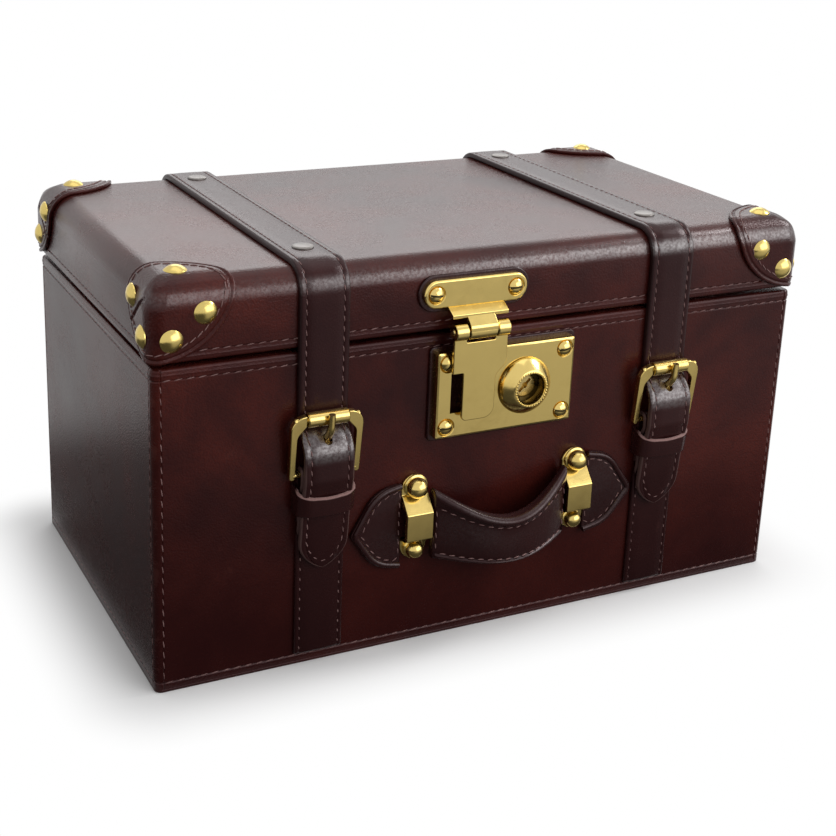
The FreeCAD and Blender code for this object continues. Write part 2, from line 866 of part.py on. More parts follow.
def make_lock(screws):
    cushion = new_body(y=FRONT, z=LOCK_HEIGHT)
    margin = size.pad_margin * 2
    edge = centred(new_sketch(cushion, "XZ"), size.lock_width + margin, size.lock_tall + margin, 2.5)
    pad(cushion, edge, size.skin)
    node(cut(cushion, screws), "lock_pad")

    pan = new_body(y=FRONT - PAN_OUT, z=LOCK_HEIGHT)
    face = centred(new_sketch(pan, "XZ"), size.lock_width, size.lock_tall, 1.2)
    block = pad(pan, face, size.pan_rise)
    doc.recompute()
    bevel = pan.newObject("PartDesign::Chamfer", "Bevel")
    front_edges = [
        f"Edge{number}"
        for number, edge in enumerate(block.Shape.Edges, start=1)
        if edge.BoundBox.YMax < block.Shape.BoundBox.YMin + size.pan_wall.value / 2
    ]
    bevel.Base = (block, front_edges)
    bind(bevel, Size=size.pan_bevel)
    hollow = new_sketch(pan, "XZ")
    wall = size.pan_wall * 2
    centred(hollow, size.lock_width - wall, size.lock_tall - wall)
    pocket(pan, hollow, size.pan_rise - size.pan_wall, along=True)

    window_low = STAPLE_LOW - 4.0 - LOCK_HEIGHT
    window_high = LEAF_STEP - 1.1 - LOCK_HEIGHT
    notch = size.staple_width / 2 + 1.0
    window = outline(
        new_sketch(pan, "XZ"),
        [
            (HASP_X - 11.0, window_low),
            (HASP_X + notch, window_low),
            (HASP_X + notch, size.lock_tall),
            (HASP_X - notch, size.lock_tall),
            (HASP_X - notch, window_high),
            (HASP_X - 11.0, window_high),
        ],
    )
    pocket(pan, window)
    track = size.boss_stem + size.free_gap
    slide = rectangle(
        new_sketch(pan, "XZ"),
        size.boss_side - track,
        -track,
        size.boss_side + track + size.boss_travel,
        track,
        size.boss_stem - 0.5,
    )
    pocket(pan, slide)
    node(cut(pan, screws), "lock_plate")

    boss = new_body(x=size.boss_side, y=FRONT - PAN_FACE_OUT, z=LOCK_HEIGHT)
    bore = size.plug_radius + size.turning
    inside = size.pan_rise - size.seat * 4
    sunk = size.free_gap - size.boss_rise
    profile = outline(
        new_sketch(boss, "XY"),
        [
            (bore, inside),
            (size.boss_stem, inside),
            (size.boss_stem, -size.free_gap),
            (size.boss_radius, -size.free_gap),
            (size.boss_radius, -1.3),
            (size.boss_radius - 1.9, sunk + 0.7, 6.5),
            (size.boss_mouth + 0.3, sunk),
            (size.boss_mouth - 0.3, sunk + 0.4),
            (size.boss_mouth - 0.8, sunk + size.plug_sunk),
            (bore, sunk + size.plug_sunk),
        ],
    )
    turned = boss.newObject("PartDesign::Revolution", "Turned")
    turned.Profile = profile
    turned.ReferenceAxis = (profile, ["V_Axis"])
    node(boss, "lock_boss")

    plug = new_body(x=size.boss_side, y=FRONT - PAN_FACE_OUT, z=LOCK_HEIGHT)
    round_end = circle(new_sketch(plug, "XZ", -inside), 0, 0, size.plug_radius)
    reach = inside + size.boss_rise - size.free_gap - size.plug_sunk - 0.6
    pad(plug, round_end, reach)
    slant = math.sqrt(0.5)
    long = size.key_slot_long / 2 * slant
    wide = size.key_slot_wide / 2 * slant
    slot = outline(
        new_sketch(plug, "XZ", reach - inside),
        [
            (long - wide, long + wide),
            (-long - wide, wide - long),
            (wide - long, -long - wide),
            (long + wide, long - wide),
        ],
    )
    pocket(plug, slot, reach * 0.6)
    node(plug, "lock_plug")

    bolt = new_body(y=FRONT - PAN_OUT, z=LOCK_HEIGHT)
    nose = HASP_X + size.staple_width / 2 + size.free_gap
    bar = new_sketch(bolt, "XZ", size.free_gap)
    tall = size.bolt_tall / 2
    rectangle(bar, nose, -tall, size.boss_side + size.boss_stem + 4.0, tall)
    circle(bar, size.boss_side, 0, size.boss_stem + size.turning)
    pad(bolt, bar, size.bolt_thick)
    node(bolt, "lock_bolt")


def hasp_screws():
    master = dome_stud(
        size.screw_radius, size.screw_rise, size.screw_shank, size.hasp_plate + size.skin * 2
    )
    face = FRONT - size.skin - size.hasp_plate
    screws = [
        copy(master, HASP_X + size.hasp_screw_spread * i, face, HASP_HEIGHT, OUTWARD["front"])
        for i in (-1, 1)
    ]
    return node(gather(screws), "hasp_screws")


def make_hasp(screws):
    bore = size.hasp_pin_radius + size.turning
    axis_z = HASP_PIN_HEIGHT
    axis_y = -size.hasp_pin_out
    blunt = 0.02

    cushion = new_body(x=HASP_X, y=FRONT, z=HASP_HEIGHT)
    margin = size.pad_margin * 2
    tall = size.hasp_tall + margin
    edge = centred(new_sketch(cushion, "XZ"), size.hasp_width + margin, tall, tall / 2 - blunt)
    pad(cushion, edge, size.skin)
    node(cut(cushion, screws), "hasp_pad")

    plate = new_body(x=HASP_X, y=FRONT)
    half = size.hasp_tall / 2
    face = new_sketch(plate, "XZ", size.skin)
    centred(face, size.hasp_width, size.hasp_tall, half - blunt, y=HASP_HEIGHT)
    pad(plate, face, size.hasp_plate)
    foot = HASP_HEIGHT - half
    lip = size.hasp_pin_out + 1.4
    ledge = outline(
        new_sketch(plate, "YZ"),
        [
            (-size.skin, foot + 1.4),
            (-size.skin - size.hasp_plate, foot + 1.4),
            (-lip, foot - 1.8),
            (-lip, foot - 3.6),
            (-size.skin, foot - 0.3),
        ],
    )
    pad(plate, ledge, size.hasp_ledge, both=True)
    web = new_sketch(plate, "YZ")
    rectangle(web, -lip + 0.2, axis_z, -lip + 2.0, foot - 2.8)
    pad(plate, web, size.hasp_knuckle, both=True)
    knuckle = circle(new_sketch(plate, "YZ"), axis_y, axis_z, size.knuckle_radius)
    pad(plate, knuckle, size.hasp_knuckle, both=True)
    pocket(plate, circle(new_sketch(plate, "YZ"), axis_y, axis_z, bore))
    node(cut(plate, screws), "hasp_plate")

    leaf = new_body(x=HASP_X, y=FRONT)
    leaf_back = PAN_FACE_OUT + size.screw_rise + size.free_gap * 2
    wide = size.leaf_width / 2
    tongue = size.tongue_width / 2
    face = outline(
        new_sketch(leaf, "XZ", leaf_back),
        [
            (-wide, axis_z),
            (-wide, LEAF_STEP),
            (-tongue, LEAF_STEP),
            (-tongue, TONGUE_END, 5.0),
            (tongue, TONGUE_END, 5.0),
            (tongue, LEAF_STEP - 2.4, 4.0),
            (wide, LEAF_STEP + 2.4, 2.0),
            (wide, axis_z),
        ],
    )
    pad(leaf, face, size.leaf_thick)
    pad(leaf, circle(new_sketch(leaf, "YZ"), axis_y, axis_z, size.knuckle_radius),
        size.leaf_width, both=True)
    gap = size.hasp_knuckle / 2 + size.free_gap
    reach = size.knuckle_radius + size.free_gap * 2
    pocket(leaf, rectangle(new_sketch(leaf, "XZ"), -gap, axis_z - reach, gap, axis_z + reach))
    pocket(leaf, circle(new_sketch(leaf, "YZ"), axis_y, axis_z, bore))
    staple = new_sketch(leaf, "XZ", leaf_back)
    half_staple = size.staple_width / 2
    rectangle(staple, -half_staple, STAPLE_LOW, half_staple, STAPLE_HIGH)
    pad(leaf, staple, size.staple_deep, back=True)
    eye = new_sketch(leaf, "YZ")
    deep = leaf_back - size.staple_deep
    rectangle(eye, -leaf_back + 1.2, STAPLE_LOW + 2.2, -deep - 1.2, STAPLE_HIGH - 2.2)
    pocket(leaf, eye)
    node(leaf, "hasp_leaf")

    pin = rod(size.hasp_pin_radius, size.leaf_width + 1.0, HASP_X, FRONT + axis_y, axis_z)
    node(pin, "hasp_pin")


# Carrying handle


def handle_studs():
    depth = size.bracket_metal + size.skin
    heads = [
        (size.upper_stud_radius, size.upper_stud_rise, size.upper_stud_up),
        (size.lower_stud_radius, size.lower_stud_rise, -size.lower_stud_down),
    ]
    studs = []
    for radius, rise, up in heads:
        master = dome_stud(radius, rise, size.stud_shank, depth)
        for side in (-1, 1):
            x = size.bracket_spread * side
            y = FRONT - size.bracket_metal
            studs.append(copy(master, x, y, size.handle_height + up, OUTWARD["front"]))
    return node(gather(studs), "handle_studs")


def make_handle(studs):
    neck = size.neck_half
    room = neck + size.free_gap
    metal = size.bracket_metal
    for side, name in ((-1, "left"), (1, "right")):
        tab = new_body(y=FRONT, z=size.handle_height)
        belly = size.tab_inner + (size.tab_tip - size.tab_inner) * 0.49
        shoulder = size.tab_half * 0.86
        leaf = [
            (size.grip_half + size.free_gap, -neck),
            (size.tab_inner - 1.3, -neck),
            (size.tab_inner, -size.tab_half, 3.0),
            (belly, -shoulder, 16.0),
            (size.tab_tip, Size.of(0), 2.0),
            (belly, shoulder, 16.0),
            (size.tab_inner, size.tab_half, 3.0),
            (size.tab_inner - 1.3, neck),
            (size.grip_half + size.free_gap, neck),
        ]
        shape = [(corner[0] * side,) + corner[1:] for corner in leaf]
        pad(tab, outline(new_sketch(tab, "XZ"), shape), size.tab_thick)
        node(tab, f"handle_tab_{name}")

        bracket = new_body(x=size.bracket_spread * side, y=FRONT, z=size.handle_height)
        rise = size.bracket_rise
        upper_end = size.upper_stud_up + size.upper_stud_radius
        lower_end = size.lower_stud_down + size.lower_stud_radius
        tunnel = rise - 2.4
        profile = outline(
            new_sketch(bracket, "YZ"),
            [
                (0, -lower_end),
                (-metal, -lower_end),
                (-metal, -neck - 1.7),
                (-rise, 0.2 - neck, 0.8),
                (-rise, neck - 0.7, 0.8),
                (-metal - 1.2, neck + 5.6),
                (-metal, neck + 6.0),
                (-metal, upper_end),
                (0, upper_end),
                (0, room + 0.8),
                (-tunnel, room),
                (-tunnel, -room),
                (0, -room),
            ],
        )
        pad(bracket, profile, size.bracket_width, both=True)
        node(cut(bracket, studs), f"handle_bracket_{name}")

    grip = new_body(y=FRONT, z=size.handle_height)
    between = 0.62
    stations = []
    for share in (-1.0, -between, 0.0, between, 1.0):
        blend = Size.of(math.cos(share * math.pi / 2) if abs(share) < 1 else 0.0)
        out = size.grip_end_out + (size.grip_mid_out - size.grip_end_out) * blend
        tall = size.grip_end_tall + (size.grip_mid_tall - size.grip_end_tall) * blend
        thick = size.grip_end_thick + (size.grip_mid_thick - size.grip_end_thick) * blend
        section = new_sketch(grip, "YZ", size.grip_half * share)
        drop = -size.grip_mid_drop * blend
        stations.append(centred(section, thick, tall, size.grip_end_thick * 0.4, x=-out, y=drop))
    loft = grip.newObject("PartDesign::AdditiveLoft", "Loft")
    loft.Profile = stations[0]
    loft.Sections = stations[1:]
    node(grip, "handle_grip")


# Piano hinge

LEAF_THICK = (size.seam_gap - size.hinge_leaf_gap) / 2
HINGE_Z = size.rim_height + size.seam_gap / 2


def hinge_screws(up):
    """Flat screws set flush in a hinge leaf, down into the case's rim or up into the lid's."""
    head = new(
        "Part::Cone",
        Radius1=size.hinge_screw_shank,
        Radius2=size.hinge_screw_head,
        Height=LEAF_THICK,
    )
    depth = size.skin
    stem = place(new("Part::Cylinder", Radius=size.hinge_screw_shank, Height=depth), z=-depth)
    master = fuse(head, stem)
    step = size.hinge_length / size.hinge_screws
    y = BACK - size.hinge_leaf_deep / 2
    seat = LID_BOTTOM if up else size.rim_height
    turn = OUTWARD["down" if up else "up"]
    count = SIZES["hinge_screws"]
    screws = [copy(master, step * (i - (count - 1) / 2), y, seat, turn) for i in range(count)]
    return node(gather(screws), "hinge_screws_lid" if up else "hinge_screws_case")


def make_hinge_leaf(up, screws):
    leaf = new_body(y=BACK + size.hinge_back, z=HINGE_Z)
    pitch = size.hinge_length / size.hinge_knuckles
    ends = size.hinge_length / 2
    low = size.hinge_leaf_gap / 2 if up else -size.seam_gap / 2
    rear = size.hinge_barrel + size.free_gap
    plate = new_sketch(leaf, "XY", low)
    rectangle(plate, -ends, -size.hinge_back - size.hinge_leaf_deep, ends, -rear)
    pad(leaf, plate, LEAF_THICK)
    start = pitch * (1 if up else 0) - ends + size.free_gap / 2
    web = new_sketch(leaf, "YZ", start)
    rectangle(web, -rear - LEAF_THICK, low, -size.hinge_pin, low + LEAF_THICK)
    tube = circle(new_sketch(leaf, "YZ", start), 0, 0, size.hinge_barrel)
    knuckle = [pad(leaf, shape, pitch - size.free_gap) for shape in (web, tube)]
    count = SIZES["hinge_knuckles"] // 2 + (0 if up else 1)
    row_of = leaf.newObject("PartDesign::LinearPattern", "Knuckles")
    row_of.Originals = knuckle
    row_of.Direction = (origin_feature(leaf, "X_Axis"), [""])
    row_of.Occurrences = count
    bind(row_of, Length=pitch * 2 * (count - 1))
    leaf.Tip = row_of
    pocket(leaf, circle(new_sketch(leaf, "YZ"), 0, 0, size.hinge_pin + size.turning))
    node(cut(leaf, screws), "hinge_leaf_lid" if up else "hinge_leaf_case")


def make_hinge(case_screws, lid_screws):
    make_hinge_leaf(False, case_screws)
    make_hinge_leaf(True, lid_screws)
    pin = rod(size.hinge_pin, size.hinge_length, Size.of(0), BACK + size.hinge_back, HINGE_Z)
    node(pin, "hinge_pin")


def build():
    studs = corner_studs()
    rivets = strap_rivets()
    plate_screws = lock_screws()
    strike_screws = hasp_screws()
    balls = handle_studs()
    rim_screws = hinge_screws(False)
    lid_screws = hinge_screws(True)
    make_case([plate_screws, balls, rim_screws])
    lid_block = make_lid([studs, rivets, strike_screws, lid_screws])
    make_caps(lid_block, studs)
    for side, name in ((-1, "left"), (1, "right")):
        make_strap(side, name, rivets)
        make_base_strap(side, name)
        make_keeper(side, name)
        make_buckle(side, name)
    make_lock(plate_screws)
    make_hasp(strike_screws)
    make_handle(balls)
    make_hinge(rim_screws, lid_screws)


build()
doc.recompute()

# Check the whole document, then write each piece to its own file
for thing in doc.Objects:
    if "Invalid" in thing.State or "Error" in thing.State:
        raise RuntimeError(f"{thing.Name} ({thing.Label}) did not build: {thing.State}")
os.makedirs("parts", exist_ok=True)
for piece in nodes:
    if piece.Shape.isNull() or not piece.Shape.isValid():
        raise RuntimeError(f"{piece.Label} has no valid shape")
for piece in nodes:
    piece.Shape.exportStep(f"parts/{piece.Label}.step")
print(f"{len(nodes)} pieces written")
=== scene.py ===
# %% [markdown]
# # A leather trunk
# The trunk is a small board box covered in glossy oxblood leather. Two straps go over its lid
# into roller buckles, a brass hasp closes on a lock, and a padded handle hangs on the front. The
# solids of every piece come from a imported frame. This script dresses that frame: it models each
# visible piece finer than a solid can be, in the same place, and gives each surface its finish.

# %% Load the frame
import math

import bmesh
import bpy
from mathutils import Matrix, Vector
from mathutils.bvhtree import BVHTree
from mathutils.geometry import intersect_point_line


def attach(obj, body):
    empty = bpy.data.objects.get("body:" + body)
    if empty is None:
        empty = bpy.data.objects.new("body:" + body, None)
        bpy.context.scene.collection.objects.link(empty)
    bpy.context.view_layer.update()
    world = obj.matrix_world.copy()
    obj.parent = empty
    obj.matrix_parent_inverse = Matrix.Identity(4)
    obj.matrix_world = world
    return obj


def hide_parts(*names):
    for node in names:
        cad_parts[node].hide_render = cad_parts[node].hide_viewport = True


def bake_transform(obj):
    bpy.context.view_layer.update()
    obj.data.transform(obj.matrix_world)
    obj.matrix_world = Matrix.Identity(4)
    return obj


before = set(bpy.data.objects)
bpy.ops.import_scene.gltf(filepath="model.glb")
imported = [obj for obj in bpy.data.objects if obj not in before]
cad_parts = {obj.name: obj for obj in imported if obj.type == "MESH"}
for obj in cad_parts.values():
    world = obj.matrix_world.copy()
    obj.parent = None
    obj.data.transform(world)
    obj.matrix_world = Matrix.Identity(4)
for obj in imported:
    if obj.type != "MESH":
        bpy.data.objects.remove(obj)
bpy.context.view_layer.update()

# %% [markdown]
# ## The camera
# The picture that the trunk follows was taken from the left and a little above, with a long
# lens. Its place was solved from the box's corners. The picture was cropped, so its middle isn't
# where the lens points: the camera's shift makes up for that.

# %% Camera
MM = 0.001
CAMERA_PLACE = Vector((-311.94, -600.08, 336.8)) * MM
AZIMUTH, ELEVATION, ROLL = -26.273, 17.461, 1.886
SENSOR_WIDTH, LENS, SHIFT_X, SHIFT_Y = 36, 65.135, 0.0455, -0.1411

bpy.ops.object.camera_add()
camera = bpy.context.object
facing = Matrix.Translation(CAMERA_PLACE)
for angle, axis in ((AZIMUTH, "Z"), (90 - ELEVATION, "X"), (ROLL, "Z")):
    facing = facing @ Matrix.Rotation(math.radians(angle), 4, axis)
camera.matrix_world = facing
camera.data.sensor_width, camera.data.lens = SENSOR_WIDTH, LENS
camera.data.shift_x, camera.data.shift_y = SHIFT_X, SHIFT_Y
bpy.context.scene.camera = camera
print("camera at", [round(c, 3) for c in camera.location])

# %% [markdown]
# ## Tools of the bench
# Most pieces of a trunk are made in one of four ways: a strip of leather laid along a line, a
# plate cut to an outline, a knob turned on a lathe, or thread sewn along a seam. Each way gets
# one small helper that works with Blender's own operators. Sizes are in millimetres, as on a
# maker's drawing, and each finished piece has its place in its mesh, with its object at the
# origin.

# %% Main sizes and selecting
FRONT, BACK, HALF_WIDTH = -85.5, 85.5, 152.5
RIM, LID_BOTTOM, LID_TOP = 138.5, 140.3, 172.0


def mm(x, y, z):
    return Vector((x, y, z)) * MM


def object_mode():
    if bpy.context.mode != "OBJECT":
        bpy.ops.object.mode_set(mode="OBJECT")


def focus(piece):
    """Select one object alone, in object mode."""
    object_mode()
    bpy.ops.object.select_all(action="DESELECT")
    piece.select_set(True)
    bpy.context.view_layer.objects.active = piece


def edit(piece, kind, action="DESELECT"):
    """Go into edit mode to work on VERT, EDGE or FACE, with nothing or everything selected."""
    focus(piece)
    bpy.ops.object.mode_set(mode="EDIT")
    bpy.ops.mesh.select_mode(type=kind)
    bpy.ops.mesh.select_all(action=action)


def choose(piece, kind, test):
    """Select the vertices, edges or faces that pass a test, in edit mode."""
    edit(piece, kind)
    mesh = bmesh.from_edit_mesh(piece.data)
    for part in {"VERT": mesh.verts, "EDGE": mesh.edges, "FACE": mesh.faces}[kind]:
        if test(part):
            part.select_set(True)
    mesh.select_flush_mode()
    bmesh.update_edit_mesh(piece.data)


def near(value, target, slack=0.02):
    return abs(value - target * MM) < slack * MM


def both_ends(test):
    """A test for edges, from one for their vertices."""
    return lambda edge: all(test(vert) for vert in edge.verts)


def upright_edge(edge):
    a, b = (vert.co for vert in edge.verts)
    return abs(a.z - b.z) > 0.9 * edge.calc_length()


# %% Shaping and finishing
def added(name):
    """Name the object that was just made."""
    piece = bpy.context.object
    piece.name = piece.data.name = name
    return piece


def settle(piece):
    """Write an object's place, turn and size into its mesh."""
    focus(piece)
    bpy.ops.object.transform_apply(location=True, rotation=True, scale=True)
    return piece


def apply(piece, kind, **settings):
    """Add a modifier, set it, and apply it to the mesh."""
    focus(piece)
    modifier = piece.modifiers.new(kind.title(), kind)
    for name, value in settings.items():
        setattr(modifier, name, value)
    bpy.ops.object.modifier_apply(modifier=modifier.name)
    return piece


def bevel(piece, test, width, segments):
    """Round the edges that pass a test."""
    choose(piece, "EDGE", test)
    bpy.ops.mesh.bevel(offset=width * MM, segments=segments)
    object_mode()


def push(piece, test, depth):
    """Push the points that pass a test into the surface."""
    choose(piece, "VERT", test)
    bpy.ops.transform.shrink_fatten(value=-depth * MM)
    object_mode()


def smooth(piece, angle=38):
    focus(piece)
    bpy.ops.object.shade_smooth_by_angle(angle=math.radians(angle))
    return piece


def crisp(piece, angle=38):
    """Shade smooth, but let large faces keep their own direction."""
    return apply(smooth(piece, angle), "WEIGHTED_NORMAL", keep_sharp=True)


def bevel_hard(piece, width, segments, angle):
    """Round all edges that are sharper than an angle."""
    settings = {"limit_method": "ANGLE", "angle_limit": math.radians(angle)}
    return apply(piece, "BEVEL", width=width * MM, segments=segments, **settings)


def soften(piece, width, segments=3, angle=40):
    """Round a piece's hard edges, and shade it smooth between them."""
    return crisp(bevel_hard(piece, width, segments, angle))


def outward(piece):
    """Merge doubled points and turn every face outwards."""
    edit(piece, "VERT", "SELECT")
    bpy.ops.mesh.remove_doubles(threshold=1e-6)
    bpy.ops.mesh.normals_make_consistent(inside=False)
    object_mode()
    return piece


def scrap(*tools):
    """Throw away pieces that only served to make others."""
    for tool in tools:
        bpy.data.objects.remove(tool)


def trim(piece, tool, operation="DIFFERENCE"):
    """Cut a tool's shape out of a piece, or keep what they share."""
    apply(piece, "BOOLEAN", object=tool, operation=operation, solver="EXACT")
    scrap(tool)
    return piece


def joined(name, pieces):
    focus(pieces[0])
    for piece in pieces[1:]:
        piece.select_set(True)
    bpy.ops.object.join()
    return added(name)


def moved(piece, matrix):
    """Put a finished mesh in its place by a matrix."""
    piece.data.transform(matrix)
    return piece


def copy_of(piece, matrix, name=None):
    """A copy with its own mesh, put in place by a matrix."""
    twin = piece.copy()
    twin.data = piece.data.copy()
    if name:
        twin.name = twin.data.name = name
    bpy.context.scene.collection.objects.link(twin)
    return moved(twin, matrix)


# %% [markdown]
# A leather box starts as a cube, and seams press a fine groove into it. Blender's loop cut needs
# a window, so a groove is three bisect cuts side by side, of which the middle one is pushed in.

# %% Blocks and seams
def block(name, low, high):
    """A box between two corners."""
    low, high = mm(*low), mm(*high)
    bpy.ops.mesh.primitive_cube_add(size=1, location=(low + high) / 2)
    piece = added(name)
    piece.scale = high - low
    return settle(piece)


def centred(name, half_x, half_y, low, high):
    """A box over the middle of the floor, between two heights."""
    return block(name, (-half_x, -half_y, low), (half_x, half_y, high))


def groove(piece, axis, place, depth, width=0.5, test=None):
    """Press a seam into the walls that a plane across an axis meets."""
    index = "xyz".index(axis)
    for shift in (-width, 0, width):
        edit(piece, "VERT", "SELECT")
        spot, way = Vector(), Vector()
        spot[index], way[index] = (place + shift) * MM, 1
        bpy.ops.mesh.bisect(plane_co=spot, plane_no=way)
    push(piece, lambda vert: near(vert.co[index], place) and (not test or test(vert.co)), depth)


# %% [markdown]
# Outlines and bent strips are drawn as straight runs with rounded corners. A plate is such an
# outline, filled and extruded. A strip is a section that is extruded from point to point along a
# line and turned a little at each. Without a window, the rotate operator turns the other way, so
# its angle is negated.

# %% Lines
def rounded(corners, closed=False, fineness=7):
    """Points along straight runs between corners (a, b) or, rounded, (a, b, radius)."""
    count = len(corners)
    points = []
    for index, corner in enumerate(corners):
        here = Vector(corner[:2])
        if len(corner) == 2 or not (closed or 0 < index < count - 1):
            points.append(here)
            continue
        into = (here - Vector(corners[index - 1][:2])).normalized()
        out = (Vector(corners[(index + 1) % count][:2]) - here).normalized()
        turn = math.atan2(into.x * out.y - into.y * out.x, into.dot(out))
        side = Vector((-into.y, into.x)) * math.copysign(corner[2], turn)
        centre = here - into * corner[2] * math.tan(abs(turn) / 2) + side
        for part in range(fineness + 1):
            points.append(centre - Matrix.Rotation(turn * part / fineness, 2) @ side)
    return points


def divided(points, step):
    """The same line with its long runs cut into shorter ones."""
    line = [points[0]]
    for a, b in zip(points, points[1:]):
        parts = max(1, math.ceil((b - a).length / step))
        line += [a.lerp(b, part / parts) for part in range(1, parts + 1)]
    return line


def headings(line):
    """The angle at which a line passes each of its points."""
    runs = [b - a for a, b in zip(line, line[1:])]
    angles = [math.atan2(runs[0].y, runs[0].x)]
    for a, b in zip(runs, runs[1:]):
        bend = math.atan2(a.x * b.y - a.y * b.x, a.dot(b))
        angles.append(math.atan2(a.y, a.x) + bend / 2)
    angles.append(math.atan2(runs[-1].y, runs[-1].x))
    return angles


def way_out(angle, side):
    """The way off a strip's surface, for a line of (y, z) points that passes at an angle."""
    return Vector((0, math.sin(angle), -math.cos(angle))) * side


def beside(line, x, rise, side=1):
    """Points over a strip's surface, with the way out at each: x and rise may follow the line."""
    spots = []
    for point, angle in zip(line, headings(line)):
        out = way_out(angle, side)
        across, high = (value(point) if callable(value) else value for value in (x, rise))
        spots.append((Vector((across, point.x, point.y)) + out * high, out))
    return spots


# %% Plates and strips
def filled(name, points):
    """A face through points in space, selected in edit mode for extruding."""
    bpy.ops.mesh.primitive_circle_add(vertices=len(points), radius=MM, fill_type="NGON")
    piece = added(name)
    edit(piece, "FACE")
    mesh = bmesh.from_edit_mesh(piece.data)
    for vert, point in zip(mesh.verts, points):
        vert.co = point
    bmesh.update_edit_mesh(piece.data)
    bpy.ops.mesh.select_all(action="SELECT")
    return piece


def extrude(step):
    bpy.ops.mesh.extrude_region_move(TRANSFORM_OT_translate={"value": step})


def plate(name, corners, plane, start, depth, fineness=7):
    """Fill an outline on the XZ, YZ or XY plane and extrude it into a slab."""

    def spot(a, b, c):
        return mm(*{"XZ": (a, c, b), "YZ": (c, a, b), "XY": (a, b, c)}[plane])

    points = rounded(corners, closed=True, fineness=fineness)
    piece = filled(name, [spot(*point, start) for point in points])
    extrude(spot(0, 0, depth))
    return outward(piece)


def oblong(width, tall, radius, x=0.0, z=0.0):
    """The corners of a rectangle with rounded corners."""
    signs = ((-1, -1), (1, -1), (1, 1), (-1, 1))
    return [(x + width / 2 * i, z + tall / 2 * j, radius) for i, j in signs]


def sweep(name, section, line, side=1, taper=None):
    """Extrude a section of (across, out) points along a line of (y, z) points, at x = 0."""
    angles = headings(line)
    start, out = Vector((0, line[0].x, line[0].y)), way_out(angles[0], side)
    ends = [start + Vector((across, 0, 0)) + out * rise for across, rise in section]
    piece = filled(name, [end * MM for end in ends])
    share = 1.0
    for index in range(1, len(line)):
        step = (line[index] - line[index - 1]) * MM
        centre = mm(0, line[index].x, line[index].y)
        extrude((0, step.x, step.y))
        turn = math.remainder(angles[index] - angles[index - 1], math.tau)
        if abs(turn) > 1e-6:
            bpy.ops.transform.rotate(value=-turn, orient_axis="X", center_override=centre)
        wanted = taper(line[index]) if taper else 1.0
        if wanted != share:
            bpy.ops.transform.resize(value=(wanted / share, 1, 1), center_override=centre)
            share = wanted
    return outward(piece)


# %% Knobs turned on a lathe
TURNS = {
    "up": (0, "X"),
    "front": (90, "X"),
    "back": (-90, "X"),
    "left": (-90, "Y"),
    "right": (90, "Y"),
}
FACING = {way: Matrix.Rotation(math.radians(turn), 4, axis) for way, (turn, axis) in TURNS.items()}


def turned(name, profile, steps=40):
    """Spin a profile of (radius, height) points round the Z axis."""
    bpy.ops.mesh.primitive_plane_add(size=MM)
    piece = added(name)
    edit(piece, "VERT", "SELECT")
    bpy.ops.mesh.merge(type="CENTER")
    bpy.ops.transform.translate(value=mm(profile[0][0], 0, profile[0][1]))
    for a, b in zip(profile, profile[1:]):
        extrude(mm(b[0] - a[0], 0, b[1] - a[1]))
    bpy.ops.mesh.select_all(action="SELECT")
    bpy.ops.mesh.spin(steps=steps, angle=math.tau, center=(0, 0, 0), axis=(0, 0, 1))
    return smooth(outward(piece))


def cap_of_ball(ball, rise, angle, parts):
    """A profile from a ball's crown, at a height, down to an angle."""
    arc = [angle * part / parts for part in range(parts + 1)]
    return [(ball * math.sin(a), rise - ball * (1 - math.cos(a))) for a in arc]


def dome(radius, rise, foot=0.4):
    """The profile of a domed head, from its crown to the middle of its foot."""
    ball = (radius * radius + rise * rise) / (2 * rise)
    angle = math.asin(min(1.0, radius / ball))
    return cap_of_ball(ball, rise, angle, 9) + [(radius, -foot), (0, -foot)]


def rod_profile(radius, length, round_over=0.4, bore=0.0):
    """A rod or tube along Z, centred, with softened ends."""
    half = length / 2
    outer = [(radius - round_over, -half), (radius, round_over - half)]
    outer += [(radius, half - round_over), (radius - round_over, half)]
    return [(bore, -half)] + outer + [(bore, half)] + ([(bore, -half)] if bore else [])


def at(x, y, z, way="up"):
    """The matrix that stands a turned piece on a spot, facing one way."""
    return Matrix.Translation(mm(x, y, z)) @ FACING[way]


def placed(piece, x, y, z, way, spin=0.0):
    """A copy of a turned piece, standing on a spot."""
    return copy_of(piece, at(x, y, z, way) @ Matrix.Rotation(math.radians(spin), 4, "Z"))


# %% Wires and rolled edges
def round_rod(name, points, radius, ends=1.0, sides=3):
    """A round rod along points in space, thinner towards its end where a share is given."""
    curve = bpy.data.curves.new(name, "CURVE")
    curve.dimensions = "3D"
    curve.bevel_depth, curve.bevel_resolution = radius * MM, sides
    curve.use_fill_caps = True
    spline = curve.splines.new("POLY")
    spline.points.add(len(points) - 1)
    for index, (spot, point) in enumerate(zip(spline.points, points)):
        spot.co = (*(Vector(point) * MM), 1)
        spot.radius = 1 + (ends - 1) * (index / (len(points) - 1)) ** 3
    rod = bpy.data.objects.new(name, curve)
    bpy.context.scene.collection.objects.link(rod)
    focus(rod)
    bpy.ops.object.convert(target="MESH")
    return smooth(outward(added(name)), 60)


# %% Thread
STITCH_LENGTH, STITCH_WIDTH, STITCH_THICK, STITCH_PITCH = 3.3, 0.52, 0.56, 4.8
FINE_PITCH, FINE_SHARE, DOT_SHARE = 4.2, 0.8, 0.42
STITCH_SLANT = math.radians(9)


def stitch_master():
    """One stitch: a short thread that dips into the leather at both ends."""
    bpy.ops.mesh.primitive_uv_sphere_add(segments=6, ring_count=7, radius=0.5 * MM)
    piece = added("stitch")
    piece.rotation_euler.y = math.radians(90)
    settle(piece)
    piece.scale = (STITCH_LENGTH, STITCH_WIDTH, STITCH_THICK)
    return smooth(settle(piece), 180)


STITCH = stitch_master()


